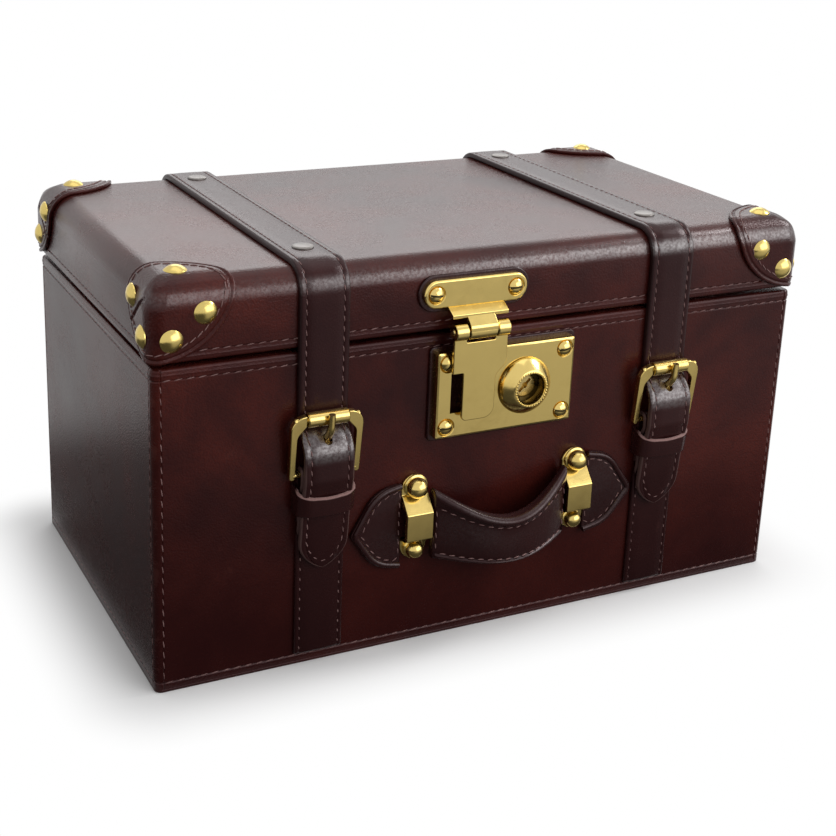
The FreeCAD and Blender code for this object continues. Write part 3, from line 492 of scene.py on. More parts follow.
def sew(name, places, share=1.0):
    """Stitches at (point, direction, way out) places, a share of the full length, as one piece."""
    size = Matrix.Diagonal((share, 1, 1, 1))
    copies = []
    for point, along, out in places:
        along = Matrix.Rotation(STITCH_SLANT, 3, out) @ along.normalized()
        across = out.cross(along).normalized()
        turn = Matrix((along, across, along.cross(across))).transposed().to_4x4()
        copies.append(copy_of(STITCH, Matrix.Translation(point * MM) @ turn @ size))
    return joined(name, copies)


def stitch_row(spots, pitch=STITCH_PITCH):
    """Even stitch places along (point, way out) spots."""
    lengths = [0.0]
    for (a, _), (b, _) in zip(spots, spots[1:]):
        lengths.append(lengths[-1] + (b - a).length)
    count = max(1, round(lengths[-1] / pitch))
    places = []
    index = 0
    for number in range(count):
        target = (number + 0.5) * lengths[-1] / count
        while lengths[index + 1] < target:
            index += 1
        (a, out_a), (b, out_b) = spots[index], spots[index + 1]
        share = (target - lengths[index]) / (lengths[index + 1] - lengths[index])
        places.append((a.lerp(b, share), b - a, out_a.lerp(out_b, share).normalized()))
    return places


def straight_row(a, b, out):
    return stitch_row([(Vector(a), Vector(out)), (Vector(b), Vector(out))])


print("tools ready; a stitch has", len(STITCH.data.polygons), "faces")

# %% [markdown]
# ## Finishes
# Each finish is a node tree on the Principled shader. Written as nodes, sums and products of
# masks take pages, so one small class wraps a socket: an expression on wires adds the Math
# nodes, and one method adds any other node. Patterns read Object coordinates in metres, so a
# grain of one millimetre has a scale near a thousand and stays on a piece when the piece moves.

# %% Wires between nodes
class Wire:
    """A socket of a material. Expressions on wires add Math nodes."""

    def __init__(self, tree, socket=None):
        self.tree, self.socket = tree, socket

    def node(self, kind, settings, inputs, output=0):
        """Add a node: its settings first, then the values or wires of its sockets."""
        made = self.tree.nodes.new("ShaderNode" + kind)
        for name, value in settings.items():
            setattr(made, name, value)
        for name, value in inputs.items():
            feed(made.inputs[name], value)
        return Wire(self.tree, made.outputs[output])

    def math(self, operation, first, second):
        return self.node("Math", {"operation": operation}, {0: first, 1: second})

    def __add__(self, other):
        return self.math("ADD", self, other)

    def __sub__(self, other):
        return self.math("SUBTRACT", self, other)

    def __rsub__(self, other):
        return self.math("SUBTRACT", other, self)

    def __mul__(self, other):
        return self.math("MULTIPLY", self, other)

    def __pow__(self, other):
        return self.math("POWER", self, other)

    __radd__, __rmul__ = __add__, __mul__

    def __abs__(self):
        return self.math("ABSOLUTE", self, 0.0)

    def ramp(self, low, high):
        """0 below low, 1 above high, and a smooth step between."""
        settings = {"interpolation_type": "SMOOTHSTEP"}
        return self.node("MapRange", settings, {0: self, 1: low, 2: high})

    def blend(self, dark, light):
        """A colour between two, mixed by this wire."""
        return self.node("Mix", {"data_type": "RGBA"}, {0: self, 6: dark, 7: light}, output=2)


def feed(socket, value):
    if isinstance(value, Wire):
        value.tree.links.new(value.socket, socket)
    else:
        socket.default_value = value


class Finish:
    """A material, its Principled shader, and the patterns that its nodes draw from."""

    def __init__(self, name, **settings):
        self.material = bpy.data.materials.new(name)
        self.material.use_nodes = True
        self.tree = self.material.node_tree
        self.shader = self.tree.nodes["Principled BSDF"]
        self.place = Wire(self.tree).node("TexCoord", {}, {}, output=3)
        self.set(**settings)

    def set(self, **settings):
        for socket, value in settings.items():
            feed(self.shader.inputs[socket.replace("_", " ")], value)

    def axis(self, letter):
        return self.place.node("SeparateXYZ", {}, {0: self.place}, output="XYZ".index(letter))

    def stretched(self, x, y, z):
        inputs = {"Vector": self.place, "Scale": (x, y, z)}
        return self.place.node("Mapping", {"vector_type": "POINT"}, inputs)

    def noise(self, scale, detail=2.0, rough=0.5, warp=0.0, place=None):
        inputs = {"Vector": place or self.place, "Scale": scale, "Detail": detail}
        inputs |= {"Roughness": rough, "Distortion": warp}
        return self.place.node("TexNoise", {}, inputs)

    def cells(self, scale):
        return self.place.node("TexVoronoi", {}, {"Vector": self.place, "Scale": scale})

    def bump(self, height, depth, strength=1.0, over=None):
        """Raise the surface by a height, depth in millimetres, over another bump."""
        inputs = {"Height": height, "Distance": depth * MM, "Strength": strength}
        if over:
            inputs["Normal"] = over
        return self.place.node("Bump", {}, inputs)


def dress(piece, body, finish, slot, *nodes):
    """Give a piece its finish, let it move with a body, and let it stand for its solids."""
    piece.data.materials.clear()
    piece.data.materials.append(finish.material)
    if body:
        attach(piece, body)
    if nodes:
        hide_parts(*nodes)
    return piece


# %% [markdown]
# ### Leather
# Trunk leather is dyed dark, waxed and glazed. Its colour drifts from dark oxblood to a redder
# brown and darkens towards the foot. The grain is a fine pebble with creases. The glaze's gloss
# is weak and red face on, by the tint of the specular reflection, and strong and grey at a
# glancing angle, by the shader's own Fresnel. Rubbed spots are smoother and paler. A clear coat
# adds shine where hands polish the leather: on the lid's front edge, the straps' bends and the
# handle.

# %% Leather finishes
def rubbed_bright(finish):
    """The lid's front edge, which hands have rubbed bright."""
    height = finish.axis("Z")
    band = height.ramp(0.1615, 0.1665) * height.ramp(0.1704, 0.1668)
    more_right = finish.axis("X").ramp(-0.14, 0.05) * 0.6 + 0.4
    return band * finish.axis("Y").ramp(-0.0735, -0.0775) * more_right


def leather(name, deep, warm, worn, gloss=0.2, pebble=1.0, edges=(), shine=rubbed_bright):
    """A leather from its three tones, with (mask, tone) pairs for edge wear and painted light."""
    finish = Finish(name, IOR=1.45, Specular_Tint=(0.5, 0.38, 0.39, 1))
    drift = finish.noise(9, 4, 0.62, 0.6).ramp(0.34, 0.68)
    cloud = finish.noise(34, 5, 0.6).ramp(0.3, 0.75)
    grain = finish.cells(1250)
    crease = finish.noise(850, 4, 0.62)
    upper = finish.axis("Z").ramp(-0.01, 0.13) * 0.75 + 0.25
    rubbed = finish.noise(55, 6, 0.7, 0.4).ramp(0.62, 0.78)
    colour = ((drift * 0.65 + cloud * 0.35) * upper).blend(deep, warm)
    colour = (rubbed * 0.4).blend(colour, worn)
    colour = (grain.ramp(0.35, 0.8) * 0.35).blend(colour, deep)
    dull = gloss + cloud * 0.05 + grain * 0.06 - rubbed * 0.04
    for mask, tone in edges:
        edge = mask(finish)
        colour = edge.blend(colour, tone)
        dull = dull + edge * 0.25
    swell = finish.bump(finish.noise(26, 3, 0.5), 1.2, 0.045)
    fine = finish.bump((1 - grain) * 0.6 + crease * 0.55, 0.07 * pebble, 0.7, over=swell)
    coat = shine(finish) * (crease.ramp(0.3, 0.7) * 0.7 + 0.3)
    finish.set(Base_Color=colour, Roughness=dull, Normal=fine)
    finish.set(Coat_Weight=coat, Coat_IOR=2.0, Coat_Roughness=0.24)
    return finish


def case_corners(finish):
    """Where the box's upright corners are scuffed."""
    across = abs(finish.axis("X")).ramp(0.1496, 0.1532)
    along = abs(finish.axis("Y")).ramp(0.0826, 0.0862)
    return across * along * finish.noise(140, 5, 0.7).ramp(0.45, 0.7) * 0.8


def handled(finish):
    """The whole handle, which hands keep polished in patches."""
    return finish.noise(60, 3).ramp(0.25, 0.6) * 0.2


def painted_keeper_highlight(finish):
    """The keeper's upper edge, painted pale in front as a highlight."""
    height = finish.axis("Z") - finish.axis("Y") * 0.554
    ahead = finish.axis("Y").ramp(-0.0885, -0.0905)
    return height.ramp(0.1319, 0.1323) * ahead * finish.noise(600, 2).ramp(0.1, 0.4)


OXBLOOD = {
    "deep": (0.021, 0.0038, 0.0037, 1),
    "warm": (0.096, 0.0150, 0.0092, 1),
    "worn": (0.10, 0.030, 0.024, 1),
}
BRIDLE = {
    "deep": (0.017, 0.0048, 0.0050, 1),
    "warm": (0.038, 0.0100, 0.0092, 1),
    "worn": (0.080, 0.034, 0.030, 1),
}
SCUFFS = [(case_corners, OXBLOOD["worn"])]
# A painted highlight along the front of the keeper's upper edge.
KEEPER_HIGHLIGHT = [(painted_keeper_highlight, (0.24, 0.14, 0.13, 1))]
CASE_LEATHER = leather("oxblood_leather", **OXBLOOD, pebble=2.0, edges=SCUFFS)
CAP_LEATHER = leather("creased_cap_leather", **OXBLOOD, gloss=0.17, pebble=2.6)
HANDLE_LEATHER = leather("handle_leather", **BRIDLE, pebble=0.8, shine=handled)
KEEPER_LEATHER = leather("keeper_leather", **BRIDLE, pebble=0.8, edges=KEEPER_HIGHLIGHT)

# %% [markdown]
# ### Brass
# The fittings are polished brass. A metal shows the room rather than a colour of its own, so its
# life comes from small things: faint polishing lines, smudges that dull the shine, and a browner
# tarnish in patches. The caps' studs are duller and the strap rivets are tin. A dark filler in the
# screws' slots stands for dirt and painted shade, and painted shade darkens the boss's mouth.

# %% Brass finish
def brass(name, bright, tarnish, gloss, shaded=()):
    """A metal from its bright and dull tones, with (mask, tone) pairs for painted shade."""
    finish = Finish(name, Metallic=1.0)
    patches = finish.noise(70, 5, 0.65, 0.5).ramp(0.5, 0.8)
    smudge = finish.noise(190, 4, 0.6).ramp(0.35, 0.75)
    lines = finish.noise(1.0, 3, 0.6, place=finish.stretched(260, 900, 2600))
    pits = finish.cells(520).ramp(0.0, 0.12)
    colour = (patches * 0.55).blend(bright, tarnish)
    colour = ((1 - pits) * 0.5).blend(colour, tarnish)
    for mask, tone in shaded:
        colour = mask(finish).blend(colour, tone)
    dull = gloss + smudge * 0.09 + patches * 0.06 + lines * 0.05
    swell = finish.bump(finish.noise(85, 2), 0.22, 0.35)
    fine = finish.bump(lines, 0.012, 0.5, over=swell)
    finish.set(Base_Color=colour, Roughness=dull, Normal=fine)
    return finish


BRIGHT, DULL = (0.71, 0.53, 0.18, 1), (0.46, 0.33, 0.1, 1)
BRASS = brass("polished_brass", BRIGHT, DULL, 0.13)
OLD_BRASS = brass("worn_brass", (0.60, 0.45, 0.18, 1), (0.32, 0.22, 0.075, 1), 0.22)
STUD_BRASS = brass("stud_brass", (0.64, 0.49, 0.16, 1), (0.36, 0.27, 0.085, 1), 0.17)
TIN = brass("dull_tin", (0.20, 0.185, 0.175, 1), (0.11, 0.1, 0.09, 1), 0.3)
# A dark filler for the screws' slots: dirt and painted shade.
DIRT_AND_SHADE = brass("slot_dirt", (0.05, 0.04, 0.02, 1), (0.03, 0.022, 0.012, 1), 0.55)

# %% [markdown]
# ### Thread, lining and board
# The thread is waxed and twisted, which shows as a fine mottling of two tones. The lining is a
# woven cotton, drawn by crossed waves. Board shows only if a seam opens, as grey pressed fibre.

# %% Thread, lining and board finishes
def thread_finish():
    finish = Finish("waxed_thread", IOR=1.45)
    fuzz = finish.noise(900, 3, 0.6)
    twist = finish.noise(1.0, 2, place=finish.stretched(1500, 1500, 1500)).ramp(0.35, 0.65)
    tone = finish.noise(45, 3).ramp(0.3, 0.7)
    pale = tone.blend((0.15, 0.074, 0.07, 1), (0.30, 0.175, 0.165, 1))
    colour = (twist * 0.5).blend(pale, (0.09, 0.04, 0.038, 1))
    ridges = finish.bump(twist + fuzz, 0.08, 0.8)
    finish.set(Base_Color=colour, Roughness=0.5 + fuzz * 0.3, Normal=ridges)
    return finish


def lining_finish():
    finish = Finish("lining_cotton", IOR=1.4)
    waves = [abs(finish.place.math("SINE", finish.axis(a) * 4200, 0.0)) for a in "XYZ"]
    weave = waves[0] * 0.34 + waves[1] * 0.33 + waves[2] * 0.33
    slub = finish.noise(1.0, 3, place=finish.stretched(60, 60, 900)).ramp(0.45, 0.7)
    cloth = weave.blend((0.10, 0.055, 0.038, 1), (0.205, 0.125, 0.09, 1))
    colour = (slub * 0.35).blend(cloth, (0.27, 0.18, 0.135, 1))
    ridges = finish.bump(weave + slub * 0.4, 0.25, 0.7)
    finish.set(Base_Color=colour, Roughness=0.82 + weave * 0.12, Normal=ridges)
    return finish


def board_finish():
    finish = Finish("grey_board")
    fibre = finish.noise(1.0, 5, 0.7, place=finish.stretched(240, 240, 1900))
    speck = finish.cells(700).ramp(0.1, 0.3)
    colour = fibre.blend((0.20, 0.165, 0.125, 1), (0.36, 0.31, 0.25, 1))
    ridges = finish.bump(fibre, 0.2, 0.6)
    finish.set(Base_Color=colour, Roughness=0.8 + speck * 0.15, Normal=ridges)
    return finish


THREAD, LINING, BOARD = thread_finish(), lining_finish(), board_finish()
print("finishes:", len(bpy.data.materials))

# %% [markdown]
# ## The case
# The case is a board box wrapped in one skin of leather that folds over the rim. A cube with
# rounded corners gives the wrap, grooves press the seams in and raise a fine welt, and cutting
# out the boards' room and the mouth leaves a skin of leather with a turned-in rim.

# %% Case leather
SEAM_TOP, SEAM_LOW, SEAM_SIDE, SEAM_FLANK = 133.7, 4.3, 149.0, 81.5
CASE_WELT, LEATHER_THICK = 135.9, 1.5
MOUTH_X, MOUTH_Y = 144, 77


def on_front_or_back(co):
    return abs(co.y) > (BACK - 0.5) * MM


def on_flanks(co):
    return abs(co.x) > (HALF_WIDTH - 0.5) * MM


wrap = centred("case_wrap", HALF_WIDTH, BACK, LEATHER_THICK, RIM)
bevel(wrap, upright_edge, 3, 6)
bevel(wrap, both_ends(lambda vert: near(vert.co.z, RIM)), 1.3, 4)
groove(wrap, "z", SEAM_TOP, 0.4)
groove(wrap, "z", SEAM_LOW, 0.35)
for side in (-1, 1):
    groove(wrap, "x", SEAM_SIDE * side, 0.3, 0.4, on_front_or_back)
    groove(wrap, "y", SEAM_FLANK * side, 0.3, 0.4, on_flanks)
groove(wrap, "z", CASE_WELT, -0.22, 0.9)
inner = [size - LEATHER_THICK for size in (HALF_WIDTH, BACK, RIM)]
trim(wrap, centred("boards_room", inner[0], inner[1], 0, inner[2]))
trim(wrap, centred("mouth", MOUTH_X, MOUTH_Y, 130, 145))
dress(smooth(wrap, 25), "case", CASE_LEATHER, "leather", "case_leather")

base = plate("case_base", oblong(2 * HALF_WIDTH, 2 * BACK, 3), "XY", 0, LEATHER_THICK)
dress(soften(base, 0.5), "case", CASE_LEATHER, "leather", "case_base_leather")
print("case wrap:", len(wrap.data.polygons), "faces")

# %% [markdown]
# ## The lid
# The lid's top edges are well rounded and its upright corners less so. Bevel weights let one
# Bevel modifier round both at once, so that they meet cleanly. The same block, grown or shrunk,
# also makes the room inside the lid and the corner caps outside it.

# %% Lid leather
SEAM_LID, LID_WELT = 144.4, 142.6
ROUND_TOP, ROUND_SIDE = 10, 5


def lid_block(name, grow):
    """The lid's outer form, grown or shrunk by a thickness."""
    low, high = LID_BOTTOM - min(grow, 0), LID_TOP + grow
    piece = centred(name, HALF_WIDTH + grow, BACK + grow, low, high)
    top_edge = both_ends(lambda vert: vert.co.z > 150 * MM)
    side_share = (ROUND_SIDE + grow) / (ROUND_TOP + grow)
    for test, weight in ((top_edge, 1.0), (upright_edge, side_share)):
        choose(piece, "EDGE", test)
        bpy.ops.transform.edge_bevelweight(value=weight)
    width = (ROUND_TOP + grow) * MM
    return apply(piece, "BEVEL", width=width, segments=9, limit_method="WEIGHT")


lid = lid_block("lid_wrap", 0)
bevel(lid, both_ends(lambda vert: near(vert.co.z, LID_BOTTOM)), 1.2, 4)
groove(lid, "z", SEAM_LID, 0.4)
groove(lid, "z", LID_WELT, -0.2, 0.8)
trim(lid, lid_block("lid_core", -LEATHER_THICK))
trim(lid, centred("lid_mouth", MOUTH_X, MOUTH_Y, 139, 143))
dress(smooth(lid, 25), "lid", CASE_LEATHER, "leather", "lid_leather")
print("lid wrap:", len(lid.data.polygons), "faces")

# %% [markdown]
# ## Boards, lining and hinge
# The boards and the hinge are plain solids, and their shapes are right, so they stay and only
# get a finish. The lining is cloth: a box without a lid, with soft corners and a turned-in edge.

# %% Inside the trunk
CLOTH = 1.0


def line_room(body, low, high, way):
    """Line a body between two heights, open at its top (way 1) or its bottom (way -1)."""
    piece = centred(f"{body}_cloth", MOUTH_X + CLOTH, MOUTH_Y + CLOTH, low, high)
    choose(piece, "FACE", lambda face: face.normal.z * way > 0.9)
    bpy.ops.mesh.inset(thickness=CLOTH * MM)
    extrude(mm(0, 0, (low + CLOTH - high) * way))
    dress(soften(outward(piece), 0.45, 3), body, LINING, "lining", f"{body}_lining")


line_room("case", 7.5, 137, 1)
line_room("lid", 141.8, 161.5, -1)

for name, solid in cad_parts.items():
    hardware = name.startswith("hinge") or name == "lock_bolt"
    if hardware or name.endswith("_board"):
        solid.data.materials.clear()
        solid.data.materials.append((OLD_BRASS if hardware else BOARD).material)

# %% [markdown]
# ## Corner caps
# A leather cap is moulded over each lid corner, sewn down along a curved edge and held by five
# domed studs. What the grown lid block and an ellipsoid share, less the lid itself, is its
# shell. A voxel remesh and a smoothing make that soft leather. The seam is then pressed in at a
# fixed distance from the edge, and a pleat on the flank where the leather was gathered. The
# stitches find the surface with a search tree. One cap is made and mirrored.

# %% Caps
CAP_THICK, CAP_SEAM = 1.8, 0.94
CAP_REACH = Vector((34.0, 26.5, 31.5))
CAP_CORNER = Vector((-HALF_WIDTH, FRONT, LID_TOP))
CAP_HEART = CAP_CORNER + Vector((26, 26, -26))
PLEAT = (CAP_CORNER + Vector((-1.8, 20.7, -20.4)), CAP_CORNER + Vector((-1.3, 1.5, -3.5)))

bpy.ops.mesh.primitive_uv_sphere_add(segments=72, ring_count=40, radius=1)
ellipsoid = added("cap_reach")
ellipsoid.location, ellipsoid.scale = CAP_CORNER * MM, CAP_REACH * MM
cap = lid_block("corner_cap", CAP_THICK)
trim(cap, settle(ellipsoid), "INTERSECT")
trim(cap, lid_block("lid_under_cap", 0))
apply(cap, "REMESH", mode="VOXEL", voxel_size=0.42 * MM)
apply(cap, "SMOOTH", factor=0.5, iterations=7)


def on_cap_face(vert):
    return vert.normal.dot(vert.co / MM - CAP_HEART) > 0


def by_seam(vert, width):
    """Whether a point's share of the cap's reach is near the seam's."""
    offset = vert.co / MM - CAP_CORNER
    share = Vector([o / r for o, r in zip(offset, CAP_REACH)]).length
    return abs(share - CAP_SEAM) < width and on_cap_face(vert)


def by_pleat(vert, width):
    """Whether a point lies by the fold where the leather is gathered."""
    spot = vert.co / MM
    foot, share = intersect_point_line(spot, *PLEAT)
    return 0 < share < 1 and (spot - foot).length < width and on_cap_face(vert)


SEAM_PRESSES = ((by_seam, 0.017, 0.3), (by_seam, 0.01, 0.25))
PLEAT_PRESSES = ((by_pleat, 0.9, 0.32), (by_pleat, 0.5, 0.32))
for test, width, depth in SEAM_PRESSES + PLEAT_PRESSES:
    push(cap, lambda vert: test(vert, width), depth)
smooth(cap, 70)


def cap_seam():
    """Stitch spots round the cap's edge, found on its outer face."""
    tree = BVHTree.FromObject(cap, bpy.context.evaluated_depsgraph_get())
    quarter = [math.radians(5 * part) for part in range(19)]
    ring = [Vector((math.cos(a), 0, -math.sin(a))) for a in quarter]
    ring += [Vector((0, math.sin(a), -math.cos(a))) for a in quarter[1:]]
    ring += [Vector((math.sin(a), math.cos(a), 0)) for a in quarter[1:]]
    spots = []
    for way in ring:
        stretch = Vector([w * r for w, r in zip(way, CAP_REACH)]) * CAP_SEAM
        outside = CAP_CORNER + stretch + (CAP_CORNER - CAP_HEART) * 0.08
        spot, out, _, _ = tree.find_nearest(outside * MM)
        spots.append((spot / MM + out * 0.12, out))
    return spots


cap_thread = sew("corner_cap_thread", stitch_row(cap_seam(), 3.6))
for j, end in ((1, "front"), (-1, "back")):
    for i, flank in ((1, "left"), (-1, "right")):
        for master, finish in ((cap, CAP_LEATHER), (cap_thread, THREAD)):
            name = f"{master.name}_{end}_{flank}_piece"
            twin = outward(copy_of(master, Matrix.Diagonal((i, j, 1, 1)), name))
            nodes = [f"corner_cap_{end}_{flank}"] if master is cap else []
            dress(twin, "lid", finish, "leather", *nodes)
scrap(cap, cap_thread)

# %% Cap studs and strap rivets
STRAPS = {"left": -82.5, "right": 82.5}
END_STUDS, FLANK_STUDS = ((21.0, 159.8), (7.5, 149.8)), ((18.0, 163.5), (6.5, 150.3))
TOP_STUD_X, TOP_STUD_Y, TOP_STUD_RISE = 13.5, 11.5, 1.7
RIVET_Y, STRAP_TOP = 64, 174.7

stud = turned("stud", dome(4.65, 2.1))
spots = []
for i, flank in ((-1, "left"), (1, "right")):
    for j, end in ((-1, "front"), (1, "back")):
        for inset, height in END_STUDS:
            spots.append(((HALF_WIDTH - inset) * i, (BACK + CAP_THICK) * j, height, end))
        for inset, height in FLANK_STUDS:
            spots.append(((HALF_WIDTH + CAP_THICK) * i, (BACK - inset) * j, height, flank))
        x, y = (HALF_WIDTH - TOP_STUD_X) * i, (BACK - TOP_STUD_Y) * j
        spots.append((x, y, LID_TOP + TOP_STUD_RISE, "up"))
studs = joined("cap_stud_domes", [placed(stud, *spot) for spot in spots])
dress(studs, "lid", STUD_BRASS, "brass", "corner_studs")

rivet = turned("rivet", [(0, 1.0), (3.2, 0.95), (4.2, 0.8), (4.5, 0.5), (4.5, -0.2), (0, -0.2)])
seats = [(x, RIVET_Y * j, STRAP_TOP, "up") for x in STRAPS.values() for j in (-1, 1)]
rivets = joined("strap_rivet_heads", [placed(rivet, *seat) for seat in seats])
dress(rivets, "lid", TIN, "brass", "strap_rivets")
scrap(stud, rivet)
print("studs:", len(spots), "rivets:", len(seats))

# %% [markdown]
# ## Straps
# A strap lies over the lid, goes behind the buckle's roller, folds out over the bar and ends in
# a pointed tip. Its section is a strip with a crowned middle, burnished edges and a sewn groove
# along each side. One row of stitches goes down one side, round the tip and up the other. The
# strap is one piece of leather, from the lid to its loose tail. A shorter strap is sewn up the
# front with small dots of thread. Its foot tucks in above the bottom seam, and its top folds
# round the buckle's bar. Straps, keepers and buckles are made once, in the middle, and copied
# to both sides.

# %% Strap leather
STRAP_HALF, STRAP_THICK, STRAP_SEAM = 10.75, 2.6, 2.7
BASE_STRAP_THICK, BASE_STRAP_SEAM, DOT_PITCH = 1.8, 2.0, 4.6
TIP_START, TIP_END, TIP_LEAST, TIP_POWER = 58.0, 45.7, 0.012, 0.72
FOLD_TOP, FOLD_LOW, HOLE_HEIGHT, BAR_SLOT_HEIGHT = 142.5, 135, 103.3, 88.5


def beside_strap(finish):
    return abs(abs(finish.axis("X")) - STRAPS["right"] * MM)


def burnished_and_shaded_lid_edges(finish):
    """The straps' dark edges on the lid: burnished, and darkened further as painted shade."""
    return beside_strap(finish).ramp(0.0096, 0.0104) * finish.axis("Z").ramp(0.1, 0.13) * 0.6


def painted_tail_highlight(finish):
    """Paler edges of the loose tails, round their tips: a painted highlight."""
    left = (finish.axis("Z") - TIP_END * MM) * (1 / ((TIP_START - TIP_END) * MM))
    left = left.math("MINIMUM", left.math("MAXIMUM", left, TIP_LEAST), 1.0)
    share = (1 - (1 - left) ** 2.0) ** TIP_POWER
    inside = beside_strap(finish) - share * (STRAP_HALF * MM)
    tail = finish.axis("Z").ramp(0.1, 0.09) * finish.axis("Y").ramp(-0.0876, -0.0879)
    return inside.ramp(-0.0009, -0.0004) * tail


def strap_shine(finish):
    """Where a strap bends over the lid's edge and out from under its roller."""
    height = finish.axis("Z")
    bend = height.ramp(0.0930, 0.0965) * height.ramp(0.1090, 0.1065)
    return rubbed_bright(finish) + bend * finish.axis("Y").ramp(-0.0885, -0.0895)


# Edge tones: the lid's dark edges are partly burnished and partly painted shade, the tails' pale
# edges a painted highlight.
EDGE_SHADE_AND_HIGHLIGHT = [(burnished_and_shaded_lid_edges, (0.009, 0.0045, 0.0045, 1)), (painted_tail_highlight, (0.08, 0.044, 0.04, 1))]
STRAP_LEATHER = leather("strap_leather", **BRIDLE, pebble=1.6, shine=strap_shine, edges=EDGE_SHADE_AND_HIGHLIGHT)


# %% Strap sections and lines
def strip_section(half, thick, seam):
    """Across and out, from the right edge round to the left one."""
    top, sewn = thick / 2, half - seam
    edge = [(half - 0.45, -top), (half, 0.45 - top), (half, top - 0.75), (half - 0.3, top - 0.25)]
    face = [(half - 0.9, top), (sewn + 0.55, top), (sewn, top - 0.3), (sewn - 0.55, top)]
    flank = edge + face + [(half * 0.35, top + 0.12)]
    return flank + [(-across, rise) for across, rise in reversed(flank)]


def off(distance, z, *radius):
    """A point in front of the trunk's front face, for a line of (y, z)."""
    return (FRONT - distance, z, *radius)


def tip_share(point, inset=0.0):
    """How wide the strap's pointed tip is at a point, as a share of its width."""
    if point.x > FRONT - 1.5 or point.y > TIP_START + inset:
        return 1.0
    left = max(TIP_LEAST, (point.y - TIP_END - inset) / (TIP_START - TIP_END))
    return (1 - (1 - left) ** 2) ** TIP_POWER


over_lid = [(BACK + 1.4, 142.7), (BACK + 1.4, 173.4, 11.4), (FRONT - 1.4, 173.4, 11.4)]
through_buckle = [off(1.4, 108, 4.8), off(9.3, 99, 9), off(9.3, 86.5, 10)]
down_to_tip = [off(6.2, 72, 14), off(3.75, 47.2)]
strap_line = divided(rounded(over_lid + through_buckle + down_to_tip, fineness=9), 5)
tip_begin = next(i for i, p in enumerate(strap_line) if p.y < TIP_START + 4 and p.x < FRONT - 3)
tail = divided([strap_line[tip_begin], Vector(off(3.6, 47.5))], 0.75)
tail += divided([tail[-1], Vector(off(3.5, 45.8))], 0.25)[1:]
strap_line = strap_line[:tip_begin] + tail

foot = [off(-2.2, SEAM_LOW + 0.6), off(1.0, SEAM_LOW + 1.8, 0.9)]
up_the_front = [off(1.0, 60, 4), off(3.0, 65, 4), off(3.0, 78, 4), off(6.0, 84, 4)]
round_bar = [off(6.0, 90.5, 2.4), off(1.0, 90.5, 2.4), off(1.0, 66.5)]
base_line = divided(rounded(foot + up_the_front + round_bar, fineness=6), 5)
print("strap line:", len(strap_line), "points; base strap line:", len(base_line), "points")


# %% Straps and base straps
def strap_seam():
    """A stitch row down one side of a strap, round inside its tip and up the other side."""

    def across(point):
        return (STRAP_HALF - STRAP_SEAM) * tip_share(point, STRAP_SEAM)

    def rise(point):
        return STRAP_THICK / 2 - 0.16 * tip_share(point, STRAP_SEAM)

    line = [p for p in strap_line if p.x > FRONT - 1.5 or p.y > TIP_END + STRAP_SEAM + 0.1]
    right = beside(line, across, rise)
    left = [(spot * Vector((-1, 1, 1)), out) for spot, out in right]
    return stitch_row(left + right[::-1], FINE_PITCH)


def base_strap_seams():
    """Two stitch rows up the sewn part of a base strap."""
    low = [p for p in base_line[: len(base_line) // 2] if SEAM_LOW + 2 < p.y < 62]
    places = [(STRAP_HALF - BASE_STRAP_SEAM) * side for side in (-1, 1)]
    rows = [stitch_row(beside(low, place, 0.76, -1), DOT_PITCH) for place in places]
    return rows[0] + rows[1]


section = strip_section(STRAP_HALF, STRAP_THICK, STRAP_SEAM)
strap = sweep("strap", section, strap_line, taper=tip_share)
trim(strap, plate("prong_hole", oblong(3.7, 4.0, 1.8, 0, HOLE_HEIGHT), "XZ", FRONT - 14, 14))
strap_thread = sew("strap_thread", strap_seam(), FINE_SHARE)
section = strip_section(STRAP_HALF, BASE_STRAP_THICK, BASE_STRAP_SEAM)
strip = sweep("strip", section, base_line, side=-1)
trim(strip, plate("bar_slot", oblong(5, 9, 1.2, 0, BAR_SLOT_HEIGHT), "XZ", FRONT - 12, 11.95))
strip_thread = sew("strip_thread", base_strap_seams(), DOT_SHARE)
for piece in (strap, strip):
    smooth(piece, 40)

for name, x in STRAPS.items():
    aside, fold = at(x, 0, 0), (mm(x, FRONT, FOLD_TOP), mm(x, FRONT, FOLD_LOW))
    over = copy_of(strap, aside, f"strap_{name}")
    thread = copy_of(strap_thread, aside, f"strap_{name}_thread")
    for piece, finish in ((over, STRAP_LEATHER), (thread, THREAD)):
        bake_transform(piece)
        dress(piece, None, finish, "strap_leather")
    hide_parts(f"strap_{name}_top", f"strap_{name}_tail")
    below = copy_of(strip, aside, f"base_strap_{name}_strip")
    dress(below, "case", STRAP_LEATHER, "strap_leather", f"base_strap_{name}")
    thread = copy_of(strip_thread, aside, f"base_strap_{name}_thread")
    dress(thread, "case", THREAD, "strap_leather")
print("strap:", len(strap.data.polygons), "faces; base strap:", len(strip.data.polygons), "faces")
scrap(strap, strap_thread, strip, strip_thread)

# %% [markdown]
# ## Keepers
# A keeper is a loop of leather that holds the strap's tail. Its upper edge dips towards the
# front and leans out over the tail, and a painted highlight makes that edge pale in front. An
# outline less a smaller one makes the loop. Its upper edge is then turned down about the wall
# and moved out.

# %% Keepers
KEEPER_LOW, KEEPER_TOP, KEEPER_THICK = 71.0, 84.0, 1.25
KEEPER_DIP, KEEPER_LEAN = math.radians(29), 2.1


def keeper_loop(name, shrink, low, tall):
    """The keeper's outline round the strap, moved in from its outside and extruded up."""
    half, wall = 12.9 - shrink, FRONT - 0.1 - shrink
    flank, front, crown = (FRONT - out + shrink for out in (6.8, 9.5, 10.5))
    sides = [(half - 4.2, front, 8 - shrink), (half, flank, 3.9 - shrink), (half, wall, 1.2)]
    left = [(-a, b, radius) for a, b, radius in reversed(sides)]
    return plate(name, left + [(0, crown, 26)] + sides, "XY", low, tall)


